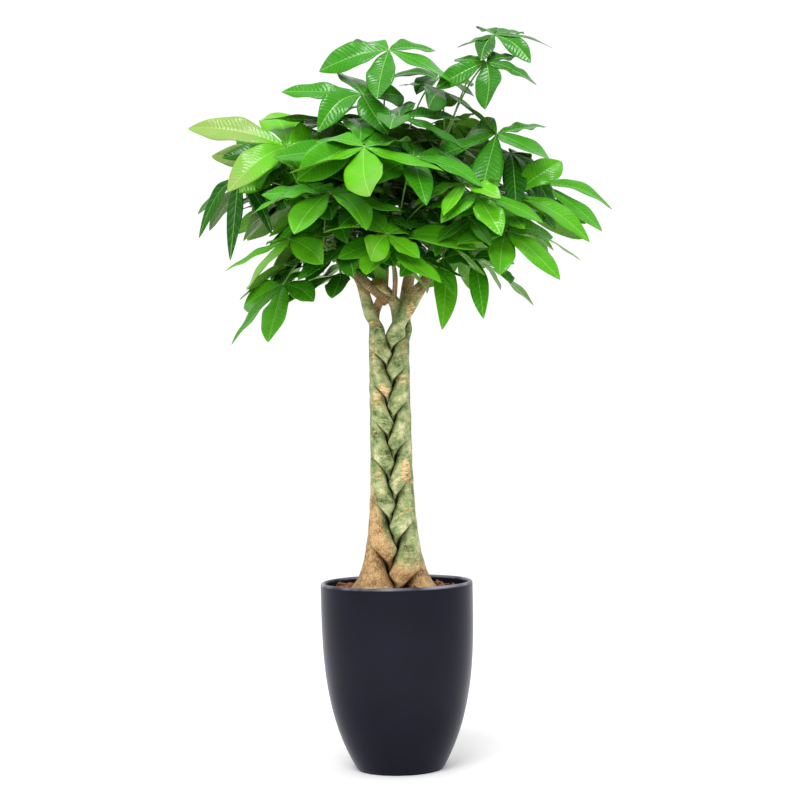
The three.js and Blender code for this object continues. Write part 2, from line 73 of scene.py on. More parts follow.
# stem = the stem that a shoot grows on, counted from 1. Its woody arm runs from inside that stem to
# where the green begins: three points, then the radii of the two ends. From there the shoot runs on
# to its tip. A leaf is hub x, y, z, heading, pitch, roll, length, leaflets and, where it hangs, its
# droop. extra = how many more leaves, their first heading, the turn between them and their reach;
# inner = how many small old leaves stay inside the crown; tones run from 0, deep, to 1, bright.
SHOOTS = {
    "left": dict(
        stem=4, arm=((-58, 2, 972), (-84, -4, 1010), (-104, -8, 1045)), radii=(8, 5.5),
        tip=(-165, -16, 1150), extra=(1, 120, 0, 70), inner=4,
        leaves=(
            (-198, -40, 1240, 184, 24, -38, 212, 5), (-298, -20, 1180, -100, -40, 0, 95, 5, 1.1),
            (-208, 25, 1205, 178, 24, -35, 160, 5),
        ),
        tones=(1.0, 0.1, 0.98),
    ),
    "left_front": dict(
        stem=4, arm=((-60, 0, 978), (-84, -34, 996), (-102, -60, 1014)), radii=(7, 5),
        tip=(-135, -95, 1052), extra=(0, 0, 0, 0), inner=3,
        leaves=(
            (-191, -150, 1048, -125, -28, 0, 150, 5), (-210, -60, 968, -140, -46, 0, 140, 6),
            (-110, -200, 1132, -112, -22, -10, 175, 7, 0.15), (-95, -70, 985, -165, -15, -10, 125, 5),
            (-112, 15, 1018, 178, -6, -25, 135, 5),
        ),
        tones=(0.85, 0.5, 0.68, 0.35, 0.3),
    ),
    "front_left": dict(
        stem=3, arm=((-6, -14, 936), (-44, -32, 966), (-67, -38, 1000)), radii=(11, 7),
        tip=(-58, -70, 1110), extra=(0, 0, 0, 0), inner=6,
        leaves=(
            (-42, -230, 1212, -86, -28, 0, 180, 5, 0.14), (-2, -240, 1046, -165, 8, -30, 125, 5, 0.12),
            (-52, -190, 1224, 170, 24, -25, 178, 5, 0.1),
        ),
        tones=(0.78, 0.85, 0.6),
    ),
    "front_right": dict(
        stem=3, arm=((4, -6, 934), (10, -40, 966), (8, -62, 1000)), radii=(6, 4.5),
        tip=(20, -95, 1070), extra=(0, 0, 0, 0), inner=6,
        leaves=(
            (8, -200, 1038, -30, -8, 20, 165, 6, 0.16), (146, -200, 1144, -115, -24, 0, 112, 5),
            (50, -180, 1195, -50, -28, 10, 150, 6),
        ),
        tones=(0.7, 0.85, 0.5),
    ),
    "middle_top": dict(
        stem=5, arm=((-10, 27, 1020), (-8, 18, 1060), (-6, 8, 1095)), radii=(7.5, 6),
        tip=(-12, -20, 1270), extra=(2, 160, -140, 90), inner=8,
        leaves=(
            (-45, -90, 1333, 178, 16, -35, 165, 5), (25, -110, 1285, -30, -18, 25, 160, 5),
            (8, -20, 1432, -100, -32, -8, 165, 5, 0.2),
        ),
        tones=(0.36, 0.22, 0.33),
    ),
    "back_top": dict(
        stem=5, arm=((-10, 28, 1010), (-14, 48, 1050), (-6, 66, 1090)), radii=(6.5, 5),
        tip=(40, 80, 1270), extra=(3, 60, 55, 120), inner=6,
        leaves=((105, 50, 1385, 110, 30, 0, 120, 5),), tones=(0.15,),
    ),
    "right_top": dict(
        stem=2, arm=((41, 51, 985), (50, 44, 1040), (60, 36, 1085)), radii=(8, 6),
        tip=(135, 10, 1300), extra=(0, 0, 0, 0), inner=5,
        leaves=(
            (220, 20, 1465, -25, -14, 25, 120, 6), (200, -40, 1400, -95, -40, 0, 125, 5),
            (113, -30, 1347, -38, -28, 0, 145, 5),
        ),
        tones=(0.12, 0.14, 0.18),
    ),
    "right": dict(
        stem=1, arm=((64, -11, 962), (86, -14, 1005), (104, -18, 1040)), radii=(9, 6),
        tip=(165, -35, 1140), extra=(0, 0, 0, 0), inner=5,
        leaves=(
            (215, -95, 1250, -115, -34, 0, 160, 5), (245, -60, 1215, -60, -38, 0, 115, 6, 0.7),
            (310, 15, 1160, -8, -18, 25, 155, 6),
        ),
        tones=(0.34, 0.12, 0.5),
    ),
    "right_front": dict(
        stem=1, arm=((62, -13, 958), (78, -46, 988), (92, -66, 1008)), radii=(7, 5),
        tip=(135, -95, 1052), extra=(0, 0, 0, 0), inner=4,
        leaves=(
            (225, -150, 1055, -48, -26, 10, 155, 7), (240, -125, 1125, -25, -14, 20, 165, 5),
            (164, -190, 1123, -40, -22, 15, 140, 6), (104, -90, 1012, -95, -52, 0, 112, 3, 0.5),
            (165, -85, 1010, -80, -50, 0, 105, 3, 0.5),
        ),
        tones=(0.66, 0.6, 0.6, 0.75, 0.4),
    ),
    "back_left": dict(
        stem=4, arm=((-59, 3, 975), (-84, 34, 1010), (-100, 58, 1040)), radii=(7, 5),
        tip=(-130, 110, 1190), extra=(5, 85, 48, 115), inner=5, leaves=(), tones=(),
    ),
    "back": dict(
        stem=2, arm=((40, 52, 990), (24, 88, 1030), (12, 108, 1062)), radii=(7, 5),
        tip=(-5, 165, 1215), extra=(5, 20, 45, 125), inner=5, leaves=(), tones=(),
    ),
    "back_right": dict(
        stem=2, arm=((41, 52, 996), (78, 74, 1032), (100, 88, 1060)), radii=(7, 5),
        tip=(140, 110, 1140), extra=(5, -25, 42, 115), inner=5, leaves=(), tones=(),
    ),
}

BENDS = (0, 8, -8, 16, -16, 25, -25, 36, -36)  # degrees that a leaflet may be turned up or down
BOWS = (0.2, 0.32, 0.08, -0.06, 0.45)  # how high a leaf stalk may arch, of its length
DRAW_SEED = 20  # of the draws that vary the leaves in the back of the crown
STALK_END = 1.0  # how far under a leaf's hub its stalk ends
SPREAD = 320.0  # degrees that the leaflets of one leaf cover
OUTER_SHARE = 0.34  # how much shorter the outermost leaflets are
PLAIN_DROOP = 0.22  # how far a leaflet's tip hangs down, of its length, where its leaf gives no droop
CROWN_MIDDLE = (0, 0, 1140)  # the leaves round this place get painted shade
CROWN_REACH = (400, 380, 330)  # how far the crown's leaves reach from its middle


# ------------------------------------------------------------------ what a user may change


class PotSettings(bpy.types.PropertyGroup):
    height: bpy.props.FloatProperty(
        name="Height", description="From the floor to the top of the lip", default=0.373, unit="LENGTH")
    rim: bpy.props.FloatProperty(
        name="Rim radius", description="Outer radius at the lip", default=0.152, unit="LENGTH")
    foot: bpy.props.FloatProperty(
        name="Foot radius", description="Outer radius on the floor", default=0.086, unit="LENGTH")
    wall: bpy.props.FloatProperty(
        name="Wall", description="Thickness of the wall", default=0.009, unit="LENGTH")
    base: bpy.props.FloatProperty(
        name="Base", description="Thickness of the closed bottom", default=0.014, unit="LENGTH")
    swell: bpy.props.FloatProperty(
        name="Swell", description="How late the side draws in towards the foot", default=3.3)
    lip: bpy.props.FloatProperty(
        name="Lip", description="Height of the rounded lip", default=0.0045, unit="LENGTH")
    lacquer: bpy.props.StringProperty(
        name="Lacquer", description="sRGB hex colour of the satin surface", default="#0D0D12")


class SoilSettings(bpy.types.PropertyGroup):
    top: bpy.props.FloatProperty(
        name="Height", description="Level of the soil at the wall", default=0.355, unit="LENGTH")
    mound: bpy.props.FloatProperty(
        name="Mound", description="How much higher it lies round the trunk", default=0.003, unit="LENGTH")
    chips: bpy.props.IntProperty(
        name="Chips", description="Number of loose bark chips on the soil", default=420)
    earth: bpy.props.StringProperty(
        name="Earth", description="sRGB hex colour of the moist soil", default="#3A281C")
    chip: bpy.props.StringProperty(
        name="Chip", description="sRGB hex colour of the bark chips", default="#8A4E2B")


class TrunkSettings(bpy.types.PropertyGroup):
    soil: bpy.props.FloatProperty(
        name="Soil level", description="Where the stems leave the soil", default=0.358, unit="LENGTH")
    crown: bpy.props.FloatProperty(
        name="Crown level", description="Where the stems part", default=0.850, unit="LENGTH")
    lobe_top: bpy.props.FloatProperty(
        name="Top crossing", description="Height of the topmost crossing", default=0.833, unit="LENGTH")
    lobe_pitch: bpy.props.FloatProperty(
        name="Crossing pitch", description="Distance of the topmost crossings", default=0.063, unit="LENGTH")
    lobe_growth: bpy.props.FloatProperty(
        name="Pitch growth", description="How much each pitch grows downwards", default=0.0028, unit="LENGTH")
    reach_x: bpy.props.FloatProperty(
        name="Side swing", description="A strand's swing from side to side", default=0.0255, unit="LENGTH")
    reach_y: bpy.props.FloatProperty(
        name="Depth swing", description="A strand's swing from front to back", default=0.0075, unit="LENGTH")
    radius: bpy.props.FloatProperty(
        name="Strand radius", description="Radius of one strand", default=0.0214, unit="LENGTH")
    flare: bpy.props.FloatProperty(
        name="Flare", description="How much wider the trunk's foot is", default=1.0)
    flare_height: bpy.props.FloatProperty(
        name="Flare height", description="How fast the flare dies away", default=0.080, unit="LENGTH")
    collar: bpy.props.FloatProperty(
        name="Collar", description="How much more it widens just above the soil", default=0.25)
    offset: bpy.props.FloatProperty(
        name="Offset", description="The trunk's middle, beside the pot's", default=-0.005, unit="LENGTH")
    groove: bpy.props.FloatProperty(
        name="Groove", description="Gap between two strands", default=0.0010, unit="LENGTH")
    lap: bpy.props.FloatProperty(
        name="Lap", description="Depth over which a strand comes to lie over another, in radii", default=0.30)
    lag: bpy.props.FloatProperty(
        name="Lag", description="How late the swing in depth comes", default=0.45, unit="ROTATION")
    swell: bpy.props.FloatProperty(
        name="Swell", description="How much broader a strand is where it crosses the middle", default=0.30)
    stretch: bpy.props.FloatProperty(
        name="Stretch", description="How much deeper than wide a strand is", default=1.57)
    softness: bpy.props.FloatProperty(
        name="Softness", description="Higher values press the strands flatter", default=13.0)
    green: bpy.props.StringProperty(
        name="Green bark", description="sRGB hex colour of the younger bark", default="#788F57")
    brown: bpy.props.StringProperty(
        name="Brown bark", description="sRGB hex colour of the old bark at the foot", default="#CBA877")


class LeafSettings(bpy.types.PropertyGroup):
    half_width: bpy.props.FloatProperty(
        name="Half width", description="Of a leaflet, as a share of the leaf's length", default=0.205)
    fold: bpy.props.FloatProperty(
        name="Fold", description="How much the blade folds up along its midrib", default=0.20)
    wave: bpy.props.FloatProperty(
        name="Wave", description="How much the blade's edges wave", default=0.08)
    thickness: bpy.props.FloatProperty(
        name="Thickness", description="Of the blade", default=0.0006, unit="LENGTH")
    bright: bpy.props.StringProperty(
        name="Bright leaf", description="sRGB hex colour of the young sunny leaves", default="#519B0F")
    pale: bpy.props.StringProperty(
        name="Pale leaf", description="sRGB hex colour of the youngest leaves", default="#748F45")
    deep: bpy.props.StringProperty(
        name="Deep leaf", description="sRGB hex colour of the shaded leaves", default="#194B0F")


class StageSettings(bpy.types.PropertyGroup):
    distance: bpy.props.FloatProperty(
        name="Camera distance", description="From the pot's axis", default=3.8, unit="LENGTH")
    eye: bpy.props.FloatProperty(
        name="Camera height", description="Above the floor", default=0.735, unit="LENGTH")
    aside: bpy.props.FloatProperty(
        name="Camera aside", description="To the right of the pot's axis", default=0.0148, unit="LENGTH")
    roll: bpy.props.FloatProperty(
        name="Camera roll", description="Turn about the line of sight", default=0.021817, subtype="ANGLE")
    lens: bpy.props.FloatProperty(
        name="Lens", description="Focal length in mm on a 36 mm sensor", default=85.5)
    floor: bpy.props.StringProperty(
        name="Floor", description="sRGB hex colour of the floor", default="#FDFDFD")


class MoneyTreeSettings(bpy.types.PropertyGroup):
    pot: bpy.props.PointerProperty(type=PotSettings)
    soil: bpy.props.PointerProperty(type=SoilSettings)
    trunk: bpy.props.PointerProperty(type=TrunkSettings)
    leaf: bpy.props.PointerProperty(type=LeafSettings)
    stage: bpy.props.PointerProperty(type=StageSettings)


# ------------------------------------------------------------------ small tools


def linear(hex_colour):
    """The shader's colour for an sRGB hex colour."""
    parts = np.array([int(hex_colour[i:i + 2], 16) for i in (1, 3, 5)]) / 255
    light = np.where(parts <= 0.04045, parts / 12.92, ((parts + 0.055) / 1.055) ** 2.4)
    return (*light.tolist(), 1.0)


def put(tree, kind, settings=None, links=None):
    """Adds a shader node and gives its outputs. Settings are its properties or unlinked inputs, links
    its linked inputs, each by its name, or by its number where several share a name. The setting
    stops fills a colour ramp."""
    node = tree.nodes.new("ShaderNode" + kind)
    for name, value in (settings or {}).items():
        if name == "stops":
            set_stops(node.color_ramp.elements, value)
        elif isinstance(name, int) or name in node.inputs:
            node.inputs[name].default_value = value
        else:
            setattr(node, name, value)
    for name, socket in (links or {}).items():
        tree.links.new(socket, node.inputs[name])
    return node.outputs


def set_stops(ramp, stops):
    """Gives a new colour ramp its stops: pairs of a place and an sRGB hex colour, from the lowest up."""
    ramp[0].position = stops[0][0]
    ramp[1].position = stops[-1][0]
    for place, _ in stops[1:-1]:
        ramp.new(place)
    for stop, (_, hex_colour) in zip(ramp, stops):
        stop.color = linear(hex_colour)


def new_material(name):
    """An empty material and its node tree."""
    material = bpy.data.materials.new(name)
    material.use_nodes = True
    material.node_tree.nodes.clear()
    return material, material.node_tree


def smoothstep(low, high, value):
    """0 below low, 1 above high and a smooth S between them."""
    share = np.clip((value - low) / (high - low), 0, 1)
    return share * share * (3 - 2 * share)


def unit(vectors):
    """Vectors of length 1 along the last axis."""
    return vectors / np.linalg.norm(vectors, axis=-1, keepdims=True)


def ripple(rng, count, low, high, *coordinates):
    """Soft noise between about -1 and 1: a sum of sines, each along its own random direction, whose
    wave numbers are drawn between low and high."""
    total = 0.0
    for _ in range(count):
        pull = rng.normal(size=len(coordinates))
        pull = pull / np.linalg.norm(pull) * rng.uniform(low, high)
        phase = rng.uniform(0, 2 * np.pi)
        total = total + np.sin(sum(p * c for p, c in zip(pull, coordinates)) + phase)
    return total / np.sqrt(count)


class Shape:
    """Closed tubes collected into one mesh: points, faces, per-point attributes and materials."""

    def __init__(self):
        self.points = []
        self.quads = []
        self.corners = []
        self.slots = []
        self.fields = {}
        self.count = 0

    def add_tubes(self, rings, slot=0, **fields):
        """rings[tube, row, column] are points; each row is a closed ring, anticlockwise seen from the
        tube's far end. A point in the middle of the first and of the last ring closes the tube.
        fields[name][tube, row, column] are the points' attributes."""
        tubes, rows, columns, _ = rings.shape
        size = rows * columns + 2
        ends = np.stack([rings[:, 0].mean(axis=1), rings[:, -1].mean(axis=1)], axis=1)
        points = np.concatenate([rings.reshape(tubes, rows * columns, 3), ends], axis=1)
        row, column = np.meshgrid(np.arange(rows - 1), np.arange(columns), indexing="ij")
        here = row * columns + column
        beside = row * columns + (column + 1) % columns
        quad = np.stack([here, beside, beside + columns, here + columns], axis=-1).reshape(-1, 4)
        edge = np.arange(columns)
        after = (edge + 1) % columns
        last = (rows - 1) * columns
        start = np.stack([after, edge, np.full(columns, size - 2)], axis=-1)
        end = np.stack([last + edge, last + after, np.full(columns, size - 1)], axis=-1)
        corner = np.concatenate([start, end])
        first = self.count + np.arange(tubes)[:, None, None] * size
        quads = (quad[None] + first).reshape(-1, 4)
        corners = (corner[None] + first).reshape(-1, 3)
        self.points.append(points.reshape(-1, 3))
        self.quads.append(quads)
        self.corners.append(corners)
        self.slots.append((slot, len(quads), len(corners)))
        for name, values in fields.items():
            values = np.broadcast_to(values, (tubes, rows, columns, values.shape[-1]))
            tips = np.stack([values[:, 0].mean(axis=1), values[:, -1].mean(axis=1)], axis=1)
            flat = values.reshape(tubes, rows * columns, -1)
            whole = np.concatenate([flat, tips], axis=1)
            self.fields.setdefault(name, []).append(whole.reshape(-1, whole.shape[-1]))
        self.count += tubes * size

    def build(self, name, materials):
        """The finished object, smooth shaded, with its attributes, inside the solids' own box."""
        points = np.concatenate(self.points)
        points = np.clip(points, np.array(CAD_BOX[0]), np.array(CAD_BOX[1]))
        quads = np.concatenate(self.quads)
        corners = np.concatenate(self.corners)
        mesh = bpy.data.meshes.new(name)
        mesh.from_pydata(points.tolist(), [], quads.tolist() + corners.tolist())
        mesh.polygons.foreach_set("use_smooth", np.ones(len(mesh.polygons), dtype=bool))
        kinds = [np.full(quad_count, slot) for slot, quad_count, _ in self.slots]
        kinds += [np.full(corner_count, slot) for slot, _, corner_count in self.slots]
        mesh.polygons.foreach_set("material_index", np.concatenate(kinds).astype(np.int32))
        for field, parts in self.fields.items():
            values = np.concatenate(parts)
            attribute = mesh.attributes.new(field, "FLOAT_VECTOR", "POINT")
            attribute.data.foreach_set("vector", values.astype(np.float32).ravel())
        for material in materials:
            mesh.materials.append(material)
        mesh.update()
        piece = bpy.data.objects.new(name, mesh)
        bpy.context.scene.collection.objects.link(piece)
        return piece


def revolve(profile, columns):
    """A profile of (radius, height) carried round the upright axis, as one tube whose rings run
    along the profile. Returned as rings[0, row, column]."""
    turn = np.linspace(0, 2 * np.pi, columns, endpoint=False)
    radius = profile[:, 0][:, None]
    height = np.broadcast_to(profile[:, 1][:, None], (len(profile), columns))
    return np.stack([radius * np.cos(turn), radius * np.sin(turn), height], axis=-1)[None]


def bezier(start, control, end, share):
    """Points and unit tangents of a quadratic curve at shares of its parameter."""
    s = share[:, None]
    points = (1 - s) ** 2 * start + 2 * s * (1 - s) * control + s ** 2 * end
    tangents = unit(2 * (1 - s) * (control - start) + 2 * s * (end - control))
    return points, tangents


def along_curve(start, control, end, shares):
    """Points and tangents at shares of the length of a quadratic curve."""
    fine = np.linspace(0, 1, 201)
    points, _ = bezier(start, control, end, fine)
    steps = np.linalg.norm(np.diff(points, axis=0), axis=1)
    length = np.concatenate([[0], np.cumsum(steps)])
    parameter = np.interp(shares * length[-1], length, fine)
    points, tangents = bezier(start, control, end, parameter)
    return points, tangents, length[-1]


def pipe(points, tangents, radii, columns):
    """A ring of the given radius round each point of a flat curve, square to its tangent. The one
    axis of every ring is the curve plane's normal and the other stands square to it."""
    chord = points[-1] - points[0]
    normal = np.cross(tangents[0], chord)
    if np.linalg.norm(normal) < 1e-4 * np.linalg.norm(chord):
        normal = np.cross(tangents[0], np.array([0.31, 0.74, 0.6]))
    binormal = np.broadcast_to(unit(normal), points.shape)
    outward = np.cross(binormal, tangents)
    turn = np.linspace(0, 2 * np.pi, columns, endpoint=False)[None, :, None]
    ring = np.cos(turn) * outward[:, None] + np.sin(turn) * binormal[:, None]
    radii = radii[:, None, None] if radii.ndim == 1 else radii[:, :, None]
    return points[:, None] + radii * ring


# ------------------------------------------------------------------ materials

LIP_HIGHLIGHT_START, LIP_HIGHLIGHT_FULL = 0.0060, 0.0030  # how far below the top of the lip its painted highlight starts and is full


def satin_pot(settings):
    """Moulded dark pot, sprayed with a satin lacquer: nearly black with a blue tinge, a broad soft sheen at
    its sides and a pale highlight painted along the top of the lip."""
    material, tree = new_material("Satin lacquered pot")
    place = put(tree, "TexCoord")["Object"]
    # lacquer clouds about 60 mm wide, and an orange-peel skin of about 1.5 mm
    clouds = put(tree, "TexNoise", {"Scale": 16.0, "Detail": 2.0}, {"Vector": place})["Fac"]
    peel = put(tree, "TexNoise", {"Scale": 650.0, "Detail": 1.0}, {"Vector": place})["Fac"]
    tint = put(
        tree, "Mix", {"data_type": "RGBA", BASE: linear(settings.lacquer), OVER: linear("#131325")},
        {"Factor": clouds})[MIXED]
    # a painted highlight along the top of the lip, broken into stretches about 80 mm long
    height = put(tree, "SeparateXYZ", None, {"Vector": place})["Z"]
    edge = put(
        tree, "MapRange",
        {"From Min": settings.height - LIP_HIGHLIGHT_START, "From Max": settings.height - LIP_HIGHLIGHT_FULL,
         "To Max": 0.8},
        {"Value": height})["Result"]
    highlight_breakup = put(tree, "TexNoise", {"Scale": 13.0, "Detail": 3.0}, {"Vector": place})["Fac"]
    places = put(tree, "MapRange", {"From Min": 0.33, "From Max": 0.62}, {"Value": highlight_breakup})["Result"]
    lip_highlight = put(tree, "Math", {"operation": "MULTIPLY"}, {0: edge, 1: places})["Value"]
    # painted highlight: pale grey-blue drawn over the lacquer along the top of the lip
    highlit = put(
        tree, "Mix", {"data_type": "RGBA", OVER: linear("#8E8E9C")}, {"Factor": lip_highlight, BASE: tint})[MIXED]
    gloss = put(tree, "MapRange", {"To Min": 0.27, "To Max": 0.36}, {"Value": clouds})["Result"]
    bump = put(tree, "Bump", {"Strength": 0.12, "Distance": 0.0002}, {"Height": peel})["Normal"]
    surface = put(
        tree, "BsdfPrincipled",
        {"Specular IOR Level": 0.05, "Sheen Weight": 0.14, "Sheen Roughness": 0.30,
         "Sheen Tint": linear("#C4C0FF"), "Coat Weight": 0.12, "Coat Roughness": 0.14},
        {"Base Color": highlit, "Roughness": gloss, "Normal": bump})["BSDF"]
    put(tree, "OutputMaterial", None, {"Surface": surface})
    return material


def moist_soil(settings):
    """Moist potting soil: dark, dull crumbs with pale grit."""
    material, tree = new_material("Moist potting soil")
    place = put(tree, "TexCoord")["Object"]
    # crumbs of 4 mm, of which about one in eight is pale grit, and a finer unevenness of 2 mm
    crumbs = put(tree, "TexVoronoi", {"Scale": 240.0}, {"Vector": place})["Color"]
    fine = put(tree, "TexNoise", {"Scale": 420.0, "Detail": 4.0}, {"Vector": place})["Fac"]
    grit = put(tree, "SeparateColor", None, {"Color": crumbs})["Red"]
    rare = put(tree, "MapRange", {"From Min": 0.86, "From Max": 0.9}, {"Value": grit})["Result"]
    tint = put(
        tree, "Mix", {"data_type": "RGBA", BASE: linear("#20150E"), OVER: linear(settings.earth)},
        {"Factor": fine})[MIXED]
    speckled = put(
        tree, "Mix", {"data_type": "RGBA", OVER: linear("#8A6A4A")}, {"Factor": rare, BASE: tint})[MIXED]
    bump = put(tree, "Bump", {"Strength": 0.8, "Distance": 0.001}, {"Height": fine})["Normal"]
    surface = put(
        tree, "BsdfPrincipled", {"Roughness": 0.9}, {"Base Color": speckled, "Normal": bump})["BSDF"]
    put(tree, "OutputMaterial", None, {"Surface": surface})
    return material


def bark_chips(settings):
    """Broken pine bark chips: dull, red-brown and flaky, each with its own tone."""
    material, tree = new_material("Broken bark chips")
    place = put(tree, "TexCoord")["Object"]
    state = put(tree, "Attribute", {"attribute_name": "tone"})["Vector"]
    tone = put(tree, "SeparateXYZ", None, {"Vector": state})["X"]
    # flakes of 3 mm
    flakes = put(tree, "TexNoise", {"Scale": 380.0, "Detail": 3.0}, {"Vector": place})["Fac"]
    base = put(
        tree, "Mix", {"data_type": "RGBA", BASE: linear("#4A2C1B"), OVER: linear(settings.chip)},
        {"Factor": tone})[MIXED]
    worn = put(
        tree, "Mix", {"data_type": "RGBA", OVER: linear("#C08A58")},
        {"Factor": flakes, BASE: base})[MIXED]
    mild = put(tree, "Mix", {"data_type": "RGBA", "Factor": 0.25}, {BASE: base, OVER: worn})[MIXED]
    bump = put(tree, "Bump", {"Strength": 0.6, "Distance": 0.0006}, {"Height": flakes})["Normal"]
    surface = put(
        tree, "BsdfPrincipled", {"Roughness": 0.8}, {"Base Color": mild, "Normal": bump})["BSDF"]
    put(tree, "OutputMaterial", None, {"Surface": surface})
    return material


def living_bark(settings):
    """Thin living bark: a dull skin mottled from dark green to cream, brown where it is old and tan where it
    is scuffed, with painted shade in its grooves. The attribute grain holds a strand's own coordinates in
    metres, with Z along the strand; bark holds how brown, how scuffed and how much painted groove shade each
    point has."""
    material, tree = new_material("Living bark")
    grain = put(tree, "Attribute", {"attribute_name": "grain"})["Vector"]
    state = put(tree, "Attribute", {"attribute_name": "bark"})["Vector"]
    parts = put(tree, "SeparateXYZ", None, {"Vector": state})
    # clouds of 25 mm, blotches of 10 mm and specks of 1 mm
    clouds = put(
        tree, "TexNoise", {"Scale": 40.0, "Detail": 6.0, "Roughness": 0.66}, {"Vector": grain})["Fac"]
    blotches = put(
        tree, "TexNoise", {"Scale": 100.0, "Detail": 5.0, "Roughness": 0.62}, {"Vector": grain})["Fac"]
    specks = put(
        tree, "TexNoise", {"Scale": 950.0, "Detail": 2.0, "Roughness": 0.7}, {"Vector": grain})["Fac"]
    # level scars across a strand, 3 mm apart and some 15 mm long, and streaks 2 mm wide along it
    level = put(tree, "Mapping", {"Scale": (0.2, 0.2, 1.0)}, {"Vector": grain})["Vector"]
    scars = put(
        tree, "TexNoise", {"Scale": 330.0, "Detail": 3.0, "Roughness": 0.6}, {"Vector": level})["Fac"]
    drawn = put(tree, "Mapping", {"Scale": (1.0, 1.0, 0.22)}, {"Vector": grain})["Vector"]
    streaks = put(
        tree, "TexNoise", {"Scale": 420.0, "Detail": 4.0, "Roughness": 0.6}, {"Vector": drawn})["Fac"]
    green = put(
        tree, "ValToRGB",
        {"stops": ((0.35, "#3F4B28"), (0.46, settings.green), (0.55, "#A4AC78"), (0.66, "#D8D1A6"))},
        {"Fac": clouds})["Color"]
    pale = put(
        tree, "MapRange", {"From Min": 0.5, "From Max": 0.72, "To Max": 0.6},
        {"Value": streaks})["Result"]
    greyed = put(
        tree, "Mix", {"data_type": "RGBA", OVER: linear("#B1B08E")}, {"Factor": pale, BASE: green})[MIXED]
    mingled = put(tree, "Math", {"operation": "ADD"}, {0: streaks, 1: clouds})["Value"]
    tanned = put(tree, "MapRange", {"From Min": 0.84, "From Max": 1.14}, {"Value": mingled})["Result"]
    brown = put(
        tree, "Mix", {"data_type": "RGBA", BASE: linear("#82603A"), OVER: linear(settings.brown)},
        {"Factor": tanned})[MIXED]
    aged = put(
        tree, "Mix", {"data_type": "RGBA"}, {"Factor": parts["X"], BASE: greyed, OVER: brown})[MIXED]
    # scuffed bark shows ragged tan patches with pale level lines
    banded = put(tree, "MapRange", {"From Min": 0.38, "From Max": 0.60}, {"Value": scars})["Result"]
    worn = put(
        tree, "Mix", {"data_type": "RGBA", BASE: linear("#A56F3A"), OVER: linear("#E8D09A")},
        {"Factor": banded})[MIXED]
    ragged = put(
        tree, "Math", {"operation": "MULTIPLY_ADD", 1: 0.36}, {0: parts["Y"], 2: blotches})["Value"]
    torn = put(tree, "MapRange", {"From Min": 0.66, "From Max": 0.80}, {"Value": ragged})["Result"]
    scuffed = put(tree, "Mix", {"data_type": "RGBA"}, {"Factor": torn, BASE: aged, OVER: worn})[MIXED]
    thin = put(
        tree, "MapRange", {"From Min": 0.59, "From Max": 0.66, "To Max": 0.7}, {"Value": scars})["Result"]
    lined = put(
        tree, "Mix", {"data_type": "RGBA", OVER: linear("#D2C793")},
        {"Factor": thin, BASE: scuffed})[MIXED]
    fleck = put(
        tree, "MapRange", {"From Min": 0.50, "From Max": 0.66, "To Max": 0.75},
        {"Value": specks})["Result"]
    flecked = put(
        tree, "Mix", {"data_type": "RGBA", OVER: linear("#4A3A20")},
        {"Factor": fleck, BASE: lined})[MIXED]
    # painted shade: dark brown drawn into the grooves and into an arm's ring hollows, by the third value of
    # bark
    dark = put(
        tree, "Mix", {"data_type": "RGBA", OVER: linear("#2A2113")},
        {"Factor": parts["Z"], BASE: flecked})[MIXED]
    height = put(tree, "Math", {"operation": "ADD"}, {0: streaks, 1: scars})["Value"]
    bump = put(tree, "Bump", {"Strength": 0.45, "Distance": 0.0010}, {"Height": height})["Normal"]
    surface = put(
        tree, "BsdfPrincipled", {"Roughness": 0.62, "Specular IOR Level": 0.15},
        {"Base Color": dark, "Normal": bump})["BSDF"]
    put(tree, "OutputMaterial", None, {"Surface": surface})
    return material


def sawn_wood():
    """A sawn branch end: pale orange wood with year rings."""
    material, tree = new_material("Sawn branch end")
    grain = put(tree, "Attribute", {"attribute_name": "grain"})["Vector"]
    # year rings 1.6 mm apart round the strand's own middle
    across = put(tree, "Mapping", {"Scale": (1.0, 1.0, 0.0)}, {"Vector": grain})["Vector"]
    rings = put(
        tree, "TexWave",
        {"wave_type": "RINGS", "rings_direction": "SPHERICAL", "Scale": 200.0, "Distortion": 1.5},
        {"Vector": across})["Fac"]
    tint = put(
        tree, "Mix", {"data_type": "RGBA", BASE: linear("#A5693E"), OVER: linear("#D9A06C")},
        {"Factor": rings})[MIXED]
    surface = put(tree, "BsdfPrincipled", {"Roughness": 0.8}, {"Base Color": tint})["BSDF"]
    put(tree, "OutputMaterial", None, {"Surface": surface})
    return material


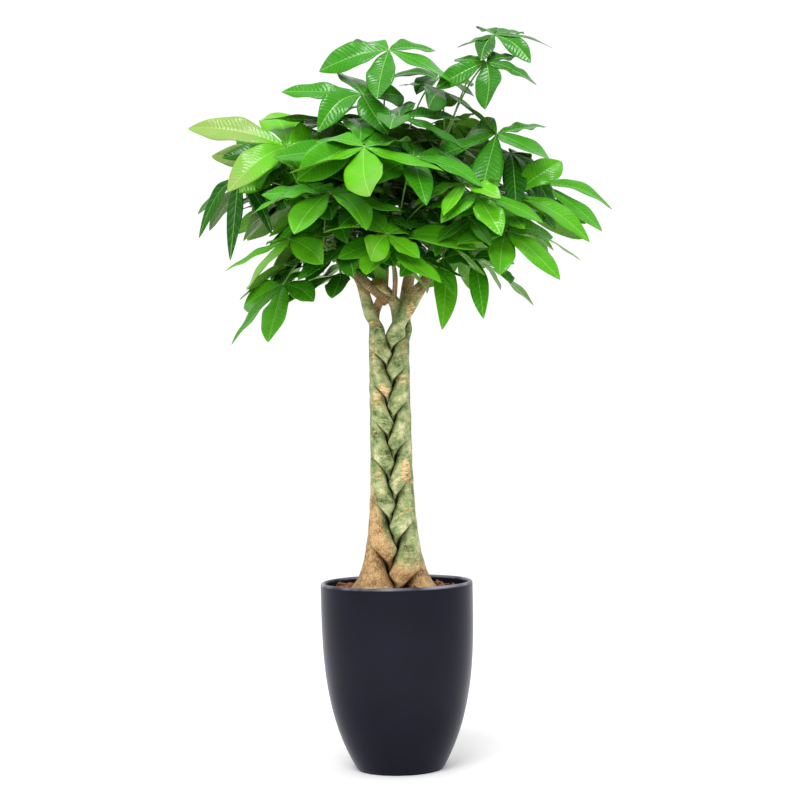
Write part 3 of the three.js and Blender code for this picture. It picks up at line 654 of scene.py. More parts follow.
def waxy_leaf(settings):
    """Waxy leaf blade: glossy green from deep to yellowish, greyer beneath, with a pale midrib and
    faint side veins. The attribute blade holds the way along the midrib and across from it, in
    metres, and a number of each leaflet's own; leaf holds the tone, and 1 on the upper face and 0 on
    the lower."""
    material, tree = new_material("Waxy leaf blade")
    blade = put(tree, "Attribute", {"attribute_name": "blade"})["Vector"]
    state = put(tree, "Attribute", {"attribute_name": "leaf"})["Vector"]
    way = put(tree, "SeparateXYZ", None, {"Vector": blade})
    parts = put(tree, "SeparateXYZ", None, {"Vector": state})
    # side veins leave the midrib forwards and bend on towards the tip, 9 mm apart
    aside = put(tree, "Math", {"operation": "ABSOLUTE"}, {0: way["Y"]})["Value"]
    bent = put(tree, "Math", {"operation": "POWER", 1: 1.25}, {0: aside})["Value"]
    lean = put(tree, "Math", {"operation": "MULTIPLY_ADD", 1: -1.9}, {0: bent, 2: way["X"]})["Value"]
    phase = put(tree, "Math", {"operation": "MULTIPLY", 1: 698.0}, {0: lean})["Value"]
    # mottling of 17 mm makes the veins uneven and the green lighter and darker
    mottle = put(tree, "TexNoise", {"Scale": 60.0, "Detail": 3.0}, {"Vector": blade})["Fac"]
    uneven = put(tree, "Math", {"operation": "MULTIPLY_ADD", 1: 9.0}, {0: mottle, 2: phase})["Value"]
    swell = put(tree, "Math", {"operation": "COSINE"}, {0: uneven})["Value"]
    vein = put(
        tree, "MapRange", {"From Min": 0.7, "From Max": 1.0, "To Max": 0.09}, {"Value": swell})["Result"]
    # the midrib is a pale line 2 mm wide
    rib = put(
        tree, "MapRange", {"From Min": 0.0011, "From Max": 0.0004, "To Max": 0.42},
        {"Value": aside})["Result"]
    tone = put(tree, "Math", {"operation": "MULTIPLY_ADD", 1: 0.24, 2: -0.12}, {0: mottle})["Value"]
    whole = put(tree, "Math", {"operation": "ADD", "use_clamp": True}, {0: parts["X"], 1: tone})["Value"]
    green = put(
        tree, "ValToRGB",
        {"stops": ((0.0, settings.deep), (0.4, "#2F7A0C"), (0.8, settings.bright), (1.0, settings.pale))},
        {"Fac": whole})["Color"]
    under = put(
        tree, "Mix", {"data_type": "RGBA", "Factor": 0.22, OVER: linear("#8FA94E")}, {BASE: green})[MIXED]
    faced = put(
        tree, "Mix", {"data_type": "RGBA"}, {"Factor": parts["Y"], BASE: under, OVER: green})[MIXED]
    veined = put(
        tree, "Mix", {"data_type": "RGBA", OVER: linear("#8CC05A")}, {"Factor": vein, BASE: faced})[MIXED]
    ribbed = put(
        tree, "Mix", {"data_type": "RGBA", OVER: linear("#8DBF5C")}, {"Factor": rib, BASE: veined})[MIXED]
    bump = put(tree, "Bump", {"Strength": 0.16, "Distance": 0.0009}, {"Height": swell})["Normal"]
    surface = put(
        tree, "BsdfPrincipled", {"Roughness": 0.24, "Specular IOR Level": 0.09},
        {"Base Color": ribbed, "Normal": bump})["BSDF"]
    put(tree, "OutputMaterial", None, {"Surface": surface})
    return material


def green_stalk():
    """Fresh green stalks, paler in patches."""
    material, tree = new_material("Fresh green stalk")
    place = put(tree, "TexCoord")["Object"]
    # patches about 20 mm long
    patches = put(tree, "TexNoise", {"Scale": 50.0, "Detail": 3.0}, {"Vector": place})["Fac"]
    tint = put(
        tree, "Mix", {"data_type": "RGBA", BASE: linear("#4E7A26"), OVER: linear("#7FA548")},
        {"Factor": patches})[MIXED]
    surface = put(tree, "BsdfPrincipled", {"Roughness": 0.5}, {"Base Color": tint})["BSDF"]
    put(tree, "OutputMaterial", None, {"Surface": surface})
    return material


# ------------------------------------------------------------------ pot and soil

POT_COLUMNS = 160  # points round the pot
FOOT_ROWS, OUTER_ROWS, LIP_ROWS, INNER_ROWS = 7, 70, 17, 50
FOOT_CROWDING = 1.25  # how much closer the outer wall's rows lie towards the foot
FOOT_EDGE = 0.003  # radius of the pot's rounded foot
WALL_CLEARANCE = 0.0006  # between the soil and the pot's wall
SOIL_BOTTOM = 0.30  # the soil's skin starts here, well under its surface
SOIL_SEED = 5
SOIL_ROWS, SOIL_COLUMNS = 90, 220
SOIL_INWARD = 0.985  # share of the way to the middle that the surface's rows run
# the sines of each kind of crumb: height, how many, least and greatest wave number
CRUMBS = ((0.0012, 14, 300, 900), (0.0016, 10, 60, 160))
CRUMB_ROOM = 0.006  # the skin bends in this far under the soil's level, and crumbs rise no further over it
CHIP_SIZES = (0.003, 0.0085)  # least and greatest half width of a chip
CHIP_FORM = (1.5, 1.0, 0.42)  # its half length, width and height for a half width of 1
CHIP_MARGIN = 0.012  # between a chip's middle and the wall
CHIP_NEAREST = 0.28  # share of the soil round the trunk that stays bare
CHIP_LIFT = (0.2, 0.9)  # how high a chip's middle lies over the soil, of its half height
CHIP_LEAN = 0.35  # spread of the slopes at which chips lie
CHIP_ROWS, CHIP_COLUMNS = 8, 12
CHIP_POLE = 0.12  # where a chip's first and last rings lie, in radians from its poles


def pot_radius(pot, height):
    """Nearly straight at the rim and swelling in to the foot: the rim's radius less the difference
    to the foot's, times the depth below the rim to a power."""
    depth = np.clip(1 - height / pot.height, 0, 1)
    return pot.rim - (pot.rim - pot.foot) * depth ** pot.swell


def pot_profile(pot):
    """Foot, outer wall, half-elliptic lip, inner wall and inner floor, from the outside in. The outer
    wall's rows lie closer together towards the foot."""
    shoulder = pot.height - pot.lip
    corner = np.linspace(0, np.pi / 2, FOOT_ROWS)
    foot = np.stack(
        [pot.foot - FOOT_EDGE + FOOT_EDGE * np.sin(corner), FOOT_EDGE - FOOT_EDGE * np.cos(corner)], -1)
    rise = FOOT_EDGE + (shoulder - FOOT_EDGE) * np.linspace(0, 1, OUTER_ROWS) ** FOOT_CROWDING
    outer = np.stack([pot_radius(pot, rise), rise], -1)[1:]
    turn = np.linspace(0, np.pi, LIP_ROWS)[1:-1]
    middle = pot.rim - pot.wall / 2
    lip = np.stack([middle + pot.wall / 2 * np.cos(turn), shoulder + pot.lip * np.sin(turn)], -1)
    fall = shoulder - (shoulder - pot.base) * np.linspace(0, 1, INNER_ROWS)
    inner = np.stack([pot_radius(pot, fall) - pot.wall, fall], -1)
    halfway_in = [0.5, 1]
    return np.concatenate([foot[:1] * halfway_in, foot, outer, lip, inner, inner[-1:] * halfway_in])


def soil_radius(pot, height):
    """The soil's radius at a height: the pot's, less its wall and a small clearance."""
    return pot_radius(pot, height) - pot.wall - WALL_CLEARANCE


def soil_rings(pot, soil, rng):
    """The soil's skin as one tube: up along the wall and in over the surface, a level disc that is a
    little higher in the middle, with crumbs of two sizes on it, each kind a sum of sines."""
    share = np.linspace(0, 1, SOIL_ROWS)[:, None]
    turn = np.linspace(0, 2 * np.pi, SOIL_COLUMNS, endpoint=False)[None]
    radius = soil_radius(pot, soil.top) * (1 - share * SOIL_INWARD)
    x, y = radius * np.cos(turn), radius * np.sin(turn)
    crumbs = sum(height * ripple(rng, *waves, x, y) for height, *waves in CRUMBS)
    level = soil.top - MM + soil.mound * smoothstep(0, 0.4, share) + crumbs
    top = np.stack([x, y, np.minimum(level, soil.top + CRUMB_ROOM)], axis=-1)
    heights = np.linspace(SOIL_BOTTOM, soil.top - CRUMB_ROOM, 6)
    side = revolve(np.stack([soil_radius(pot, heights), heights], -1), SOIL_COLUMNS)[0]
    return np.concatenate([side, top])[None]


def chip_rings(pot, soil, rng):
    """Chips: squashed, skewed pebbles that lie at random round the trunk. Each is a ball whose radius
    swings three and five times round it, made boxier by a power, scaled to its form, leaned, turned
    about the upright and set down. Gives the rings and each chip's tone."""
    count = soil.chips
    heading = rng.uniform(0, 2 * np.pi, count)
    away = np.sqrt(rng.uniform(CHIP_NEAREST, 1, count)) * (soil_radius(pot, soil.top) - CHIP_MARGIN)
    size = rng.uniform(*CHIP_SIZES, (count, 1)) * CHIP_FORM
    lift = rng.uniform(*CHIP_LIFT, count) * size[:, 2]
    lean = rng.normal(0, CHIP_LEAN, (count, 2))
    polar = np.linspace(CHIP_POLE, np.pi - CHIP_POLE, CHIP_ROWS)[None, :, None]
    around = np.linspace(0, 2 * np.pi, CHIP_COLUMNS, endpoint=False)[None, None]
    phase = rng.uniform(0, 2 * np.pi, (count, 1, 1))
    knock = 1 + 0.16 * np.sin(3 * around + phase) + 0.12 * np.sin(5 * around - 2 * phase + 2 * polar)
    local = np.stack(
        [np.sin(polar) * np.cos(around) * knock, np.sin(polar) * np.sin(around) * knock,
         np.cos(polar) * (0.8 + 0.2 * knock)], -1)
    local = np.sign(local) * np.abs(local) ** 0.8 * size[:, None, None]
    local[..., 2] += local[..., 0] * lean[:, 0, None, None] + local[..., 1] * lean[:, 1, None, None]
    spin = rng.uniform(0, 2 * np.pi, (count, 1, 1))
    turned = np.stack(
        [local[..., 0] * np.cos(spin) - local[..., 1] * np.sin(spin),
         local[..., 0] * np.sin(spin) + local[..., 1] * np.cos(spin), local[..., 2]], -1)
    where = np.stack([away * np.cos(heading), away * np.sin(heading), soil.top + MM + lift], -1)
    tone = np.repeat(rng.uniform(0, 1, (count, 1)), 3, axis=1)[:, None, None]
    return (turned + where[:, None, None])[:, ::-1], tone


class MONEYTREE_OT_pot(bpy.types.Operator):
    """Build the tapered pot with its rounded lip"""
    bl_idname = "money_tree.pot"
    bl_label = "Pot"

    def execute(self, context):
        pot = context.scene.money_tree.pot
        shape = Shape()
        shape.add_tubes(revolve(pot_profile(pot), POT_COLUMNS))
        piece = shape.build("tapered_pot", [satin_pot(pot)])
        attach(piece, "root")
        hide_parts("pot")
        return {"FINISHED"}


class MONEYTREE_OT_soil(bpy.types.Operator):
    """Build the crumbly soil and the bark chips that lie on it"""
    bl_idname = "money_tree.soil"
    bl_label = "Soil and chips"

    def execute(self, context):
        pot, soil = context.scene.money_tree.pot, context.scene.money_tree.soil
        rng = np.random.default_rng(SOIL_SEED)
        shape = Shape()
        shape.add_tubes(soil_rings(pot, soil, rng))
        piece = shape.build("crumbly_soil", [moist_soil(soil)])
        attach(piece, "root")
        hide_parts("soil")

        rings, tone = chip_rings(pot, soil, rng)
        chips = Shape()
        chips.add_tubes(rings, tone=tone)
        loose = chips.build("loose_bark_chips", [bark_chips(soil)])
        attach(loose, "root")
        return {"FINISHED"}


# ------------------------------------------------------------------ the braid

STEM_SEED = 40  # of the first stem; each next one has the next number
COLUMNS = 96  # points round a stem
ROOT_LEVEL = 0.330  # a stem's skin starts here, under the soil
RING_STEP = 0.0025  # between a stem's rings
COLLAR_HEIGHT = 0.012  # how fast the collar just above the soil dies away
LEAD_IN = 0.015  # the curve into the crown takes its first slope from this far down the braid
ROUNDING = (-0.030, 0.020)  # where the strands turn round in section, beside the crown's level
KEPT = 0.25  # share of a radius that no neighbour bites off
TURNOVER = 3  # how sharply, going round a strand, its front gives way to its back
FADE = (-0.004, 0.010)  # where a neighbour that ends stops pressing, beside its top
DENT = 0.00045  # depth of the knots and dents under the bark
# the sines of the dents, of the colours' borders and of an arm's lumps: how many, least and greatest
# wave number
DENT_WAVES, BORDER_WAVES, LUMP_WAVES = (16, 90, 260), (12, 60, 200), (8, 40, 160)
SAWN_STRAND = 2
SAW_RUN = 0.04  # height over which a sawn stem's rows come to lean
SAW_SLOPE = 0.55  # how steeply the cut faces the front
SAW_DROP = 0.004
SAW_RISE = 0.0006  # how far the bare wood stands out of its bark
DOME_HEIGHT = 0.012  # of the other stems' rounded tops
DOME_REACH = 0.0125  # the ellipse's height, a little more, so that the last ring stays open
BACK_STRAND = 4
FOOT_BROWN = (0.395, 0.45)  # heights between which the brown foot turns green
CROWN_BROWN = (0.915, 0.97)  # and where green turns brown again
BACK_BROWN = (0.86, 0.9)  # the same on the strand at the back
FOOT_RAGGED, CROWN_RAGGED = 0.014, 0.012  # how far the two borders stray up and down
LEFT_RISE = 2.9  # how much higher the brown foot reaches for each metre further left
ARM_ROWS = 48
ARM_COLUMNS = 28
ARM_COLLAR = (0.35, 0.010)  # how much wider an arm's root is, and how fast that dies away
SCAR_PITCH = 0.0052  # between the level rings of an arm
SCAR_HEIGHT = 0.00022
LUMP_HEIGHT = 0.0005  # of an arm's lumps

# Scuffed places on the front of the trunk: x, height, half width, half height in mm, strength.
SCUFFS = (
    (51, 925, 20, 38, 0.6), (36, 909, 6, 12, 0.9), (-32, 890, 12, 5, 0.8), (-15, 850, 6, 7, 0.7),
    (-11, 834, 4, 4, 0.8), (-37, 837, 8, 28, 0.6), (23, 834, 5, 16, 0.7), (-19, 797, 20, 9, 0.45),
    (21, 776, 15, 10, 0.7), (-16, 757, 16, 17, 0.75), (-31, 735, 12, 17, 0.6), (6, 727, 9, 3, 0.7),
    (-34, 672, 9, 4, 0.7), (-1, 630, 11, 4, 0.6), (23, 593, 11, 25, 0.85), (-32, 587, 7, 9, 0.7),
    (7, 575, 14, 3, 0.8), (34, 571, 10, 5, 0.7), (-20, 552, 6, 3, 0.6), (16, 533, 7, 3, 0.6),
    (25, 519, 13, 3, 0.7), (11, 508, 4, 5, 0.8), (-46, 520, 16, 30, 0.35), (48, 400, 14, 14, 0.6),
)


def crossings(trunk, z):
    """How many crossings lie above a height; they grow further apart downwards, so the count is the
    root of a quadratic."""
    depth = trunk.lobe_top - z
    root = np.sqrt(trunk.lobe_pitch ** 2 + 4 * trunk.lobe_growth * depth)
    return (root - trunk.lobe_pitch) / (2 * trunk.lobe_growth)


def depth_stretch(trunk, z):
    """How much deeper than wide a strand's section is: as set in the braid, and round in the crown."""
    low, high = trunk.crown + ROUNDING[0], trunk.crown + ROUNDING[1]
    return 1 + (trunk.stretch - 1) * (1 - smoothstep(low, high, z))


def in_braid(trunk, strand, z):
    """A strand's x, y and radius in the braid. It swings once from side to side while it goes twice
    from front to back, so that at the front every strand climbs outwards from the middle. The swing
    in depth comes a little late, so that the strand further out lies over the one that follows it.
    It is broader where it crosses the middle and narrower at the side. All grows towards the foot,
    by a flare and a short collar that both die away exponentially."""
    turn = 2 * np.pi * (strand - crossings(trunk, z)) / len(CROWNS)
    size = 1 + trunk.flare * np.exp((trunk.soil - z) / trunk.flare_height)
    size = size + trunk.collar * np.exp((trunk.soil - z) / COLLAR_HEIGHT)
    x = trunk.offset + size * trunk.reach_x * np.sin(turn)
    y = -size * trunk.reach_y * np.sin(2 * turn - trunk.lag) * depth_stretch(trunk, z)
    radius = size * trunk.radius * (1 + trunk.swell * np.cos(2 * turn))
    return np.stack([x, y, radius], -1)


def strand_at(trunk, strand, z):
    """A strand's x, y and radius at any height: below the soil as at the soil, then the braid, and
    above it a smooth cubic through the strand's own heights with slopes taken between neighbours."""
    rows = np.array(
        [[trunk.crown - LEAD_IN, 0, 0, 0], [trunk.crown, 0, 0, 0], *np.array(CROWNS[strand]) * MM])
    rows[:2, 1:] = in_braid(trunk, strand, rows[:2, 0])
    slopes = np.empty_like(rows[:, 1:])
    slopes[1:-1] = (rows[2:, 1:] - rows[:-2, 1:]) / (rows[2:, :1] - rows[:-2, :1])
    slopes[0] = (rows[1, 1:] - rows[0, 1:]) / (rows[1, 0] - rows[0, 0])
    slopes[-1] = (rows[-1, 1:] - rows[-2, 1:]) / (rows[-1, 0] - rows[-2, 0])
    i = np.clip(np.searchsorted(rows[:, 0], z), 1, len(rows) - 1)
    low, high = rows[i - 1], rows[i]
    rise = (high[:, 0] - low[:, 0])[:, None]
    share = (z - low[:, 0])[:, None] / rise
    s2, s3 = share ** 2, share ** 3
    above = (
        (2 * s3 - 3 * s2 + 1) * low[:, 1:] + (s3 - 2 * s2 + share) * rise * slopes[i - 1]
        + (3 * s2 - 2 * s3) * high[:, 1:] + (s3 - s2) * rise * slopes[i])
    below = in_braid(trunk, strand, np.clip(z, trunk.soil, trunk.crown))
    return np.where((z <= trunk.crown)[:, None], below, above)


def strand_rings(trunk, strand, z):
    """Level rings of a strand: at each turn the reach is the soft minimum of the strand's radius and
    of the way to the flat between it and each neighbour. In front the strand further forward stays
    whole and the other gives way, and behind the strand further back does. The depth is divided by
    its stretch while this is worked out. Also gives how hard the strand is pressed and its middle."""
    stretch = depth_stretch(trunk, z)
    own = strand_at(trunk, strand, z)
    own[:, 1] /= stretch
    turn = np.linspace(0, 2 * np.pi, COLUMNS, endpoint=False)[None]
    forward = np.tanh(-TURNOVER * np.sin(turn))
    free = (1 / own[:, 2])[:, None] ** trunk.softness
    total = np.broadcast_to(free, (len(z), COLUMNS)).copy()
    for other, crown in enumerate(CROWNS):
        if other == strand:
            continue
        top = crown[-1][0] * MM
        theirs = strand_at(trunk, other, np.minimum(z, top))
        theirs[:, 1] /= stretch
        gap = theirs[:, :2] - own[:, :2]
        apart = np.hypot(gap[:, 0], gap[:, 1])[:, None]
        facing = (gap[:, :1] * np.cos(turn) + gap[:, 1:] * np.sin(turn)) / apart
        even = apart * own[:, 2:] / (own[:, 2:] + theirs[:, 2:])
        whole = np.minimum(own[:, 2:], apart - KEPT * theirs[:, 2:])
        bitten = apart - np.minimum(theirs[:, 2:], apart - KEPT * own[:, 2:])
        lead = np.tanh((theirs[:, 1:2] - own[:, 1:2]) / (trunk.lap * own[:, 2:])) * forward
        won = np.where(lead > 0, lead * (whole - even), -lead * (bitten - even))
        share = even + won - trunk.groove / 2
        near = 1 - smoothstep(top + FADE[0], top + FADE[1], z)[:, None]
        total = total + (near * np.clip(facing, 0, 1) / share) ** trunk.softness
    reach = total ** (-1 / trunk.softness)
    pressed = 1 - reach / own[:, 2:]
    points = np.stack(
        [own[:, :1] + reach * np.cos(turn), (own[:, 1:2] + reach * np.sin(turn)) * stretch[:, None],
         np.broadcast_to(z[:, None], reach.shape)], -1)
    middle = np.stack([own[:, 0], own[:, 1] * stretch, z], -1)[:, None]
    return points, pressed, middle


def shape_top(points, middle, z, sawn):
    """Shapes a stem's top in place. A sawn one faces the front: its last rows lean more and more, with
    their front edge lower. The others end in a low dome, an ellipse from which their arms grow."""
    top = z[-1]
    if sawn:
        cut = smoothstep(top - SAW_RUN, top, z)[:, None]
        points[..., 2] += cut * (SAW_SLOPE * (points[..., 1] - middle[..., 1]) - SAW_DROP)
    else:
        dome = np.sqrt(np.clip(1 - ((z - (top - DOME_HEIGHT)) / DOME_REACH).clip(0) ** 2, 0.01, 1))
        points[..., :2] = middle[..., :2] + (points - middle)[..., :2] * dome[:, None, None]


def bark_state(points, outward, pressed, strand, rng):
    """How brown, how scuffed and how deep in painted shade each point of a stem is. Foot and crown are brown,
    with borders made ragged by a sum of sines, a scuff is an ellipse on the front with a soft edge, and
    painted shade darkens the grooves where the strand is pressed."""
    x, height = points[..., 0], points[..., 2]
    blotch = ripple(rng, *BORDER_WAVES, x, points[..., 1], height)
    brown = 1 - smoothstep(*FOOT_BROWN, height + FOOT_RAGGED * blotch + LEFT_RISE * np.minimum(x, 0))
    brown = np.maximum(brown, 0.8 * smoothstep(*CROWN_BROWN, height + CROWN_RAGGED * blotch))
    if strand == BACK_STRAND:
        brown = np.maximum(brown, smoothstep(*BACK_BROWN, height))
    front = smoothstep(0.25, -0.2, outward[..., 1])
    scuff = 0.3 * smoothstep(0.6, 1.9, blotch)
    for scuff_x, scuff_z, wide, tall, strength in SCUFFS:
        near = ((x / MM - scuff_x) / wide) ** 2 + ((height / MM - scuff_z) / tall) ** 2
        scuff = np.maximum(scuff, strength * front * (1 - smoothstep(0.3, 1.7, near)))
    # painted shade in and beside the grooves, deepest where the strand is pressed hardest
    groove = 0.3 * smoothstep(0.02, 0.16, pressed) + 0.7 * smoothstep(0.24, 0.6, pressed)
    return np.stack([brown, scuff, 0.85 * groove], -1)


def add_cut_face(shape, last, grain):
    """The sawn face: the stem's last ring drawn in towards its middle, a little raised, of bare wood."""
    rows = np.array([1.0, 0.93, 0.6, 0.25])[:, None, None]
    heart = last.mean(axis=0)
    face = heart + (last - heart) * rows
    face[1:, :, 2] += SAW_RISE
    grain = np.broadcast_to(grain * rows, face.shape)
    shape.add_tubes(face[None], slot=1, grain=grain[None], bark=np.zeros((1, *face.shape)))


def add_arm(shape, shoot, rng, strand):
    """A woody arm through its three points, with a collar at its root and fine level rings. Its bark
    is brown and a little scuffed at the root and green at the far end."""
    start, through, end = (np.array(p) * MM for p in shoot["arm"])
    control = 2 * through - (start + end) / 2
    share = np.linspace(0, 1, ARM_ROWS)
    points, tangents, length = along_curve(start, control, end, share)
    radius = np.interp(share, [0, 1], np.array(shoot["radii"]) * MM)
    wider, fading = ARM_COLLAR
    radius = radius * (1 + wider * np.exp(-share * length / fading))
    turn = np.linspace(0, 2 * np.pi, ARM_COLUMNS, endpoint=False)[None]
    way = share[:, None] * length + 0 * turn
    level = np.sin(way * 2 * np.pi / SCAR_PITCH + 0.6 * np.sin(turn))
    lumps = LUMP_HEIGHT * ripple(rng, *LUMP_WAVES, way, 0.01 * np.cos(turn), 0.01 * np.sin(turn))
    tube = pipe(points, tangents, radius[:, None] + SCAR_HEIGHT * level + lumps, ARM_COLUMNS)
    # the arm's grain starts 0.4 m on from its stem's own start, a place that the arms of one stem share
    grain = np.stack(
        [radius[:, None] * np.cos(turn), radius[:, None] * np.sin(turn), way + strand + 0.4], -1)
    young = smoothstep(0.45, 1.0, share)[:, None] + 0 * turn
    # the third value draws the whole arm darker with the grooves' dark brown, and adds painted shade in the
    # hollows between its level rings
    state = np.stack([1 - young, 0.25 * (1 - young), 0.55 - 0.2 * level], -1)
    shape.add_tubes(tube[None], grain=grain[None], bark=state[None])


class MONEYTREE_OT_stems(bpy.types.Operator):
    """Build the five braided stems with their woody arms"""
    bl_idname = "money_tree.stems"
    bl_label = "Braided stems"

    def execute(self, context):
        trunk = context.scene.money_tree.trunk
        materials = [living_bark(trunk), sawn_wood()]
        for strand, crown in enumerate(CROWNS):
            rng = np.random.default_rng(STEM_SEED + strand)
            top = crown[-1][0] * MM
            z = np.append(np.arange(ROOT_LEVEL, top, RING_STEP), top)
            points, pressed, middle = strand_rings(trunk, strand, z)
            local = points - middle
            outward = unit(local)
            dents = ripple(rng, *DENT_WAVES, local[..., 0], local[..., 1], points[..., 2])
            points = points + outward * DENT * dents[..., None]
            shape_top(points, middle, z, strand == SAWN_STRAND)
            steps = np.linalg.norm(np.diff(middle[:, 0], axis=0), axis=1)
            # the grain runs on along the strand, and starts a metre further on each next one
            path = np.concatenate([[0], np.cumsum(steps)])[:, None, None] + strand
            path = np.broadcast_to(path, (len(z), COLUMNS, 1))
            grain = np.concatenate([local[..., :2], path], -1)
            bark = bark_state(points, outward, pressed, strand, rng)
            shape = Shape()
            shape.add_tubes(points[None], grain=grain[None], bark=bark[None])
            if strand == SAWN_STRAND:
                add_cut_face(shape, points[-1], grain[-1])
            for shoot in SHOOTS.values():
                if shoot["stem"] == strand + 1:
                    add_arm(shape, shoot, rng, strand)
            piece = shape.build(f"barked_stem_{strand + 1}", materials)
            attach(piece, "root")
            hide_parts(f"stem_{strand + 1}")
        return {"FINISHED"}


# ------------------------------------------------------------------ leafy shoots

SHOOT_SEED = 100  # of the first shoot; each next one has the next number
EXTRA_LEAFLETS = 6  # of each leaf beyond those of the plan
INNER_LEAFLETS = 5
GOLDEN_ANGLE = 137.5
ON_SOLID = 0.0015  # a leaflet's tip lies on the solid where a point of it is this near
NARROWEST = 0.0007  # least half width of a leaflet
STATIONS = 30  # rings along a leaflet
# where the points of a ring lie across a leaflet, in half widths
ACROSS = np.array([1, 0.86, 0.64, 0.4, 0.18, 0.06, -0.06, -0.18, -0.4, -0.64, -0.86, -1])
RIB_WIDTH = 0.09  # of the midrib, in half widths
AXIS_ROWS, AXIS_COLUMNS = 40, 16  # of a shoot's green axis
STALK_ROWS, STALK_COLUMNS = 36, 12
SHOOT_GAP = 0.0003  # between a woody arm and its green shoot
SHOOT_TAPER = 0.4  # how much thinner a shoot is at its tip
SHOOT_COLLAR = (0.0008, 0.006)  # how much thicker its root is, and how fast that dies away
HIGHEST_LEAF = 0.98  # where the plan's first leaf leaves the shoot, as a share of its length
LEAF_STEP = 0.09  # how much lower each next one leaves it
STALK_RADIUS = 0.0017
STALK_ROOT = (0.0012, 0.010)  # how much thicker a leaf stalk is at its root, and how fast that dies away
STALK_HUB = (0.0022, 0.004)  # and at its hub


def even_draws(seed):
    """Repeatable draws between 0 and 1: each state is the last one times 16807, modulo 2147483647."""
    state = seed
    while True:
        state = state * 16807 % 2147483647
        yield state / 2147483647


def all_leaves():
    """Each shoot's leaves: those of the plan, and round its tip more of them by an even turn with
    small draws. A leaf is hub, heading, pitch, roll, length, leaflets, droop, tone."""
    draw = even_draws(DRAW_SEED)
    leaves = {}
    for name, shoot in SHOOTS.items():
        own = []
        for row, tone in zip(shoot["leaves"], shoot["tones"]):
            droop = row[8] if len(row) > 8 else PLAIN_DROOP
            own.append((np.array(row[:3]) * MM, *row[3:6], row[6] * MM, row[7], droop, tone))
        count, first, turn, reach = shoot["extra"]
        for i in range(count):
            heading = first + turn * i + 20 * (next(draw) - 0.5)
            away = reach * (0.75 + 0.5 * next(draw))
            rise = 70 * (next(draw) - 0.25)
            angle = np.radians(heading)
            hub = np.array(shoot["tip"]) + [away * np.cos(angle), away * np.sin(angle), rise]
            pitch = -16 - 14 * next(draw)
            roll = 40 * (next(draw) - 0.5)
            length = 140 + 30 * next(draw)
            tone = 0.15 + 0.25 * (i % 2)
            own.append((hub * MM, heading, pitch, roll, length * MM, EXTRA_LEAFLETS, PLAIN_DROOP, tone))
        leaves[name] = own
    return leaves


def inner_leaves(shoot, axis, rng):
    """The small old leaves inside the crown: each leaves the shoot's axis at a share of its length, in
    turn round it by the golden angle. Pairs of that share and the leaf."""
    pairs = []
    for i in range(shoot["inner"]):
        share = rng.uniform(0.3, 0.92)
        root, _, _ = along_curve(*axis, np.array([share]))
        heading = rng.uniform(0, 40) + GOLDEN_ANGLE * i
        away = rng.uniform(0.050, 0.105)
        angle = np.radians(heading)
        hub = root[0] + [away * np.cos(angle), away * np.sin(angle), rng.uniform(-0.030, 0.040)]
        pitch = rng.uniform(-35, -8)
        roll = rng.uniform(-25, 25)
        length = rng.uniform(0.095, 0.140)
        tone = rng.uniform(0.18, 0.68)
        pairs.append((share, (hub, heading, pitch, roll, length, INNER_LEAFLETS, PLAIN_DROOP, tone)))
    return pairs


def leaf_plane(heading, pitch, roll):
    """A leaf's forward, side and upward directions. Its side starts level and is turned about its
    forward direction by the roll."""
    heading, pitch, roll = np.radians([heading, pitch, roll])
    forward = np.array(
        [np.cos(pitch) * np.cos(heading), np.cos(pitch) * np.sin(heading), np.sin(pitch)])
    level = np.array([-np.sin(heading), np.cos(heading), 0])
    side = level * np.cos(roll) + np.cross(forward, level) * np.sin(roll)
    return forward, side, np.cross(forward, side)


def leaflet_frames(leaf, solid_points):
    """The leaflets of one leaf that the solid has: each with its reach, direction, across and lift.
    A leaflet may have been bent up or down; the bend whose tip lies on a point of the solid counts,
    and where none does, the leaf lost that leaflet. Without a solid all of them count, unbent."""
    hub, heading, pitch, roll, length, count, droop, _ = leaf
    forward, side, up = leaf_plane(heading, pitch, roll)
    index = np.arange(count)
    outermost = (count - 1) / 2
    turn = (index - outermost) * np.radians(SPREAD) / count
    reach = length * (1 - OUTER_SHARE * np.abs(index - outermost) ** 1.5 / outermost ** 1.5)
    flat = np.cos(turn)[:, None] * forward + np.sin(turn)[:, None] * side
    if solid_points is None:
        return reach, flat, np.cross(up, flat), np.broadcast_to(up, flat.shape)
    bend = np.radians(np.array(BENDS))[None, :, None]
    along = flat[:, None] * np.cos(bend) + up * np.sin(bend)
    tips = hub + along * reach[:, None, None]
    tips[..., 2] -= droop * reach[:, None]
    off = np.linalg.norm(tips[:, :, None] - solid_points[None, None], axis=-1).min(axis=2)
    best = off.argmin(axis=1)
    there = off[index, best] < ON_SOLID
    chosen = bend[0, best]
    along = along[index, best]
    lift = up * np.cos(chosen) - flat * np.sin(chosen)
    return reach[there], along[there], np.cross(up, flat)[there], lift[there]


def half_width_along(share):
    """A leaflet's half width along its midrib: the sine of a power of the share, to a power, so that
    it tapers from the hub, is widest a little past the middle and ends in a short point."""
    return np.sin(np.pi * np.clip(share, 0, 1) ** 1.25) ** 0.8


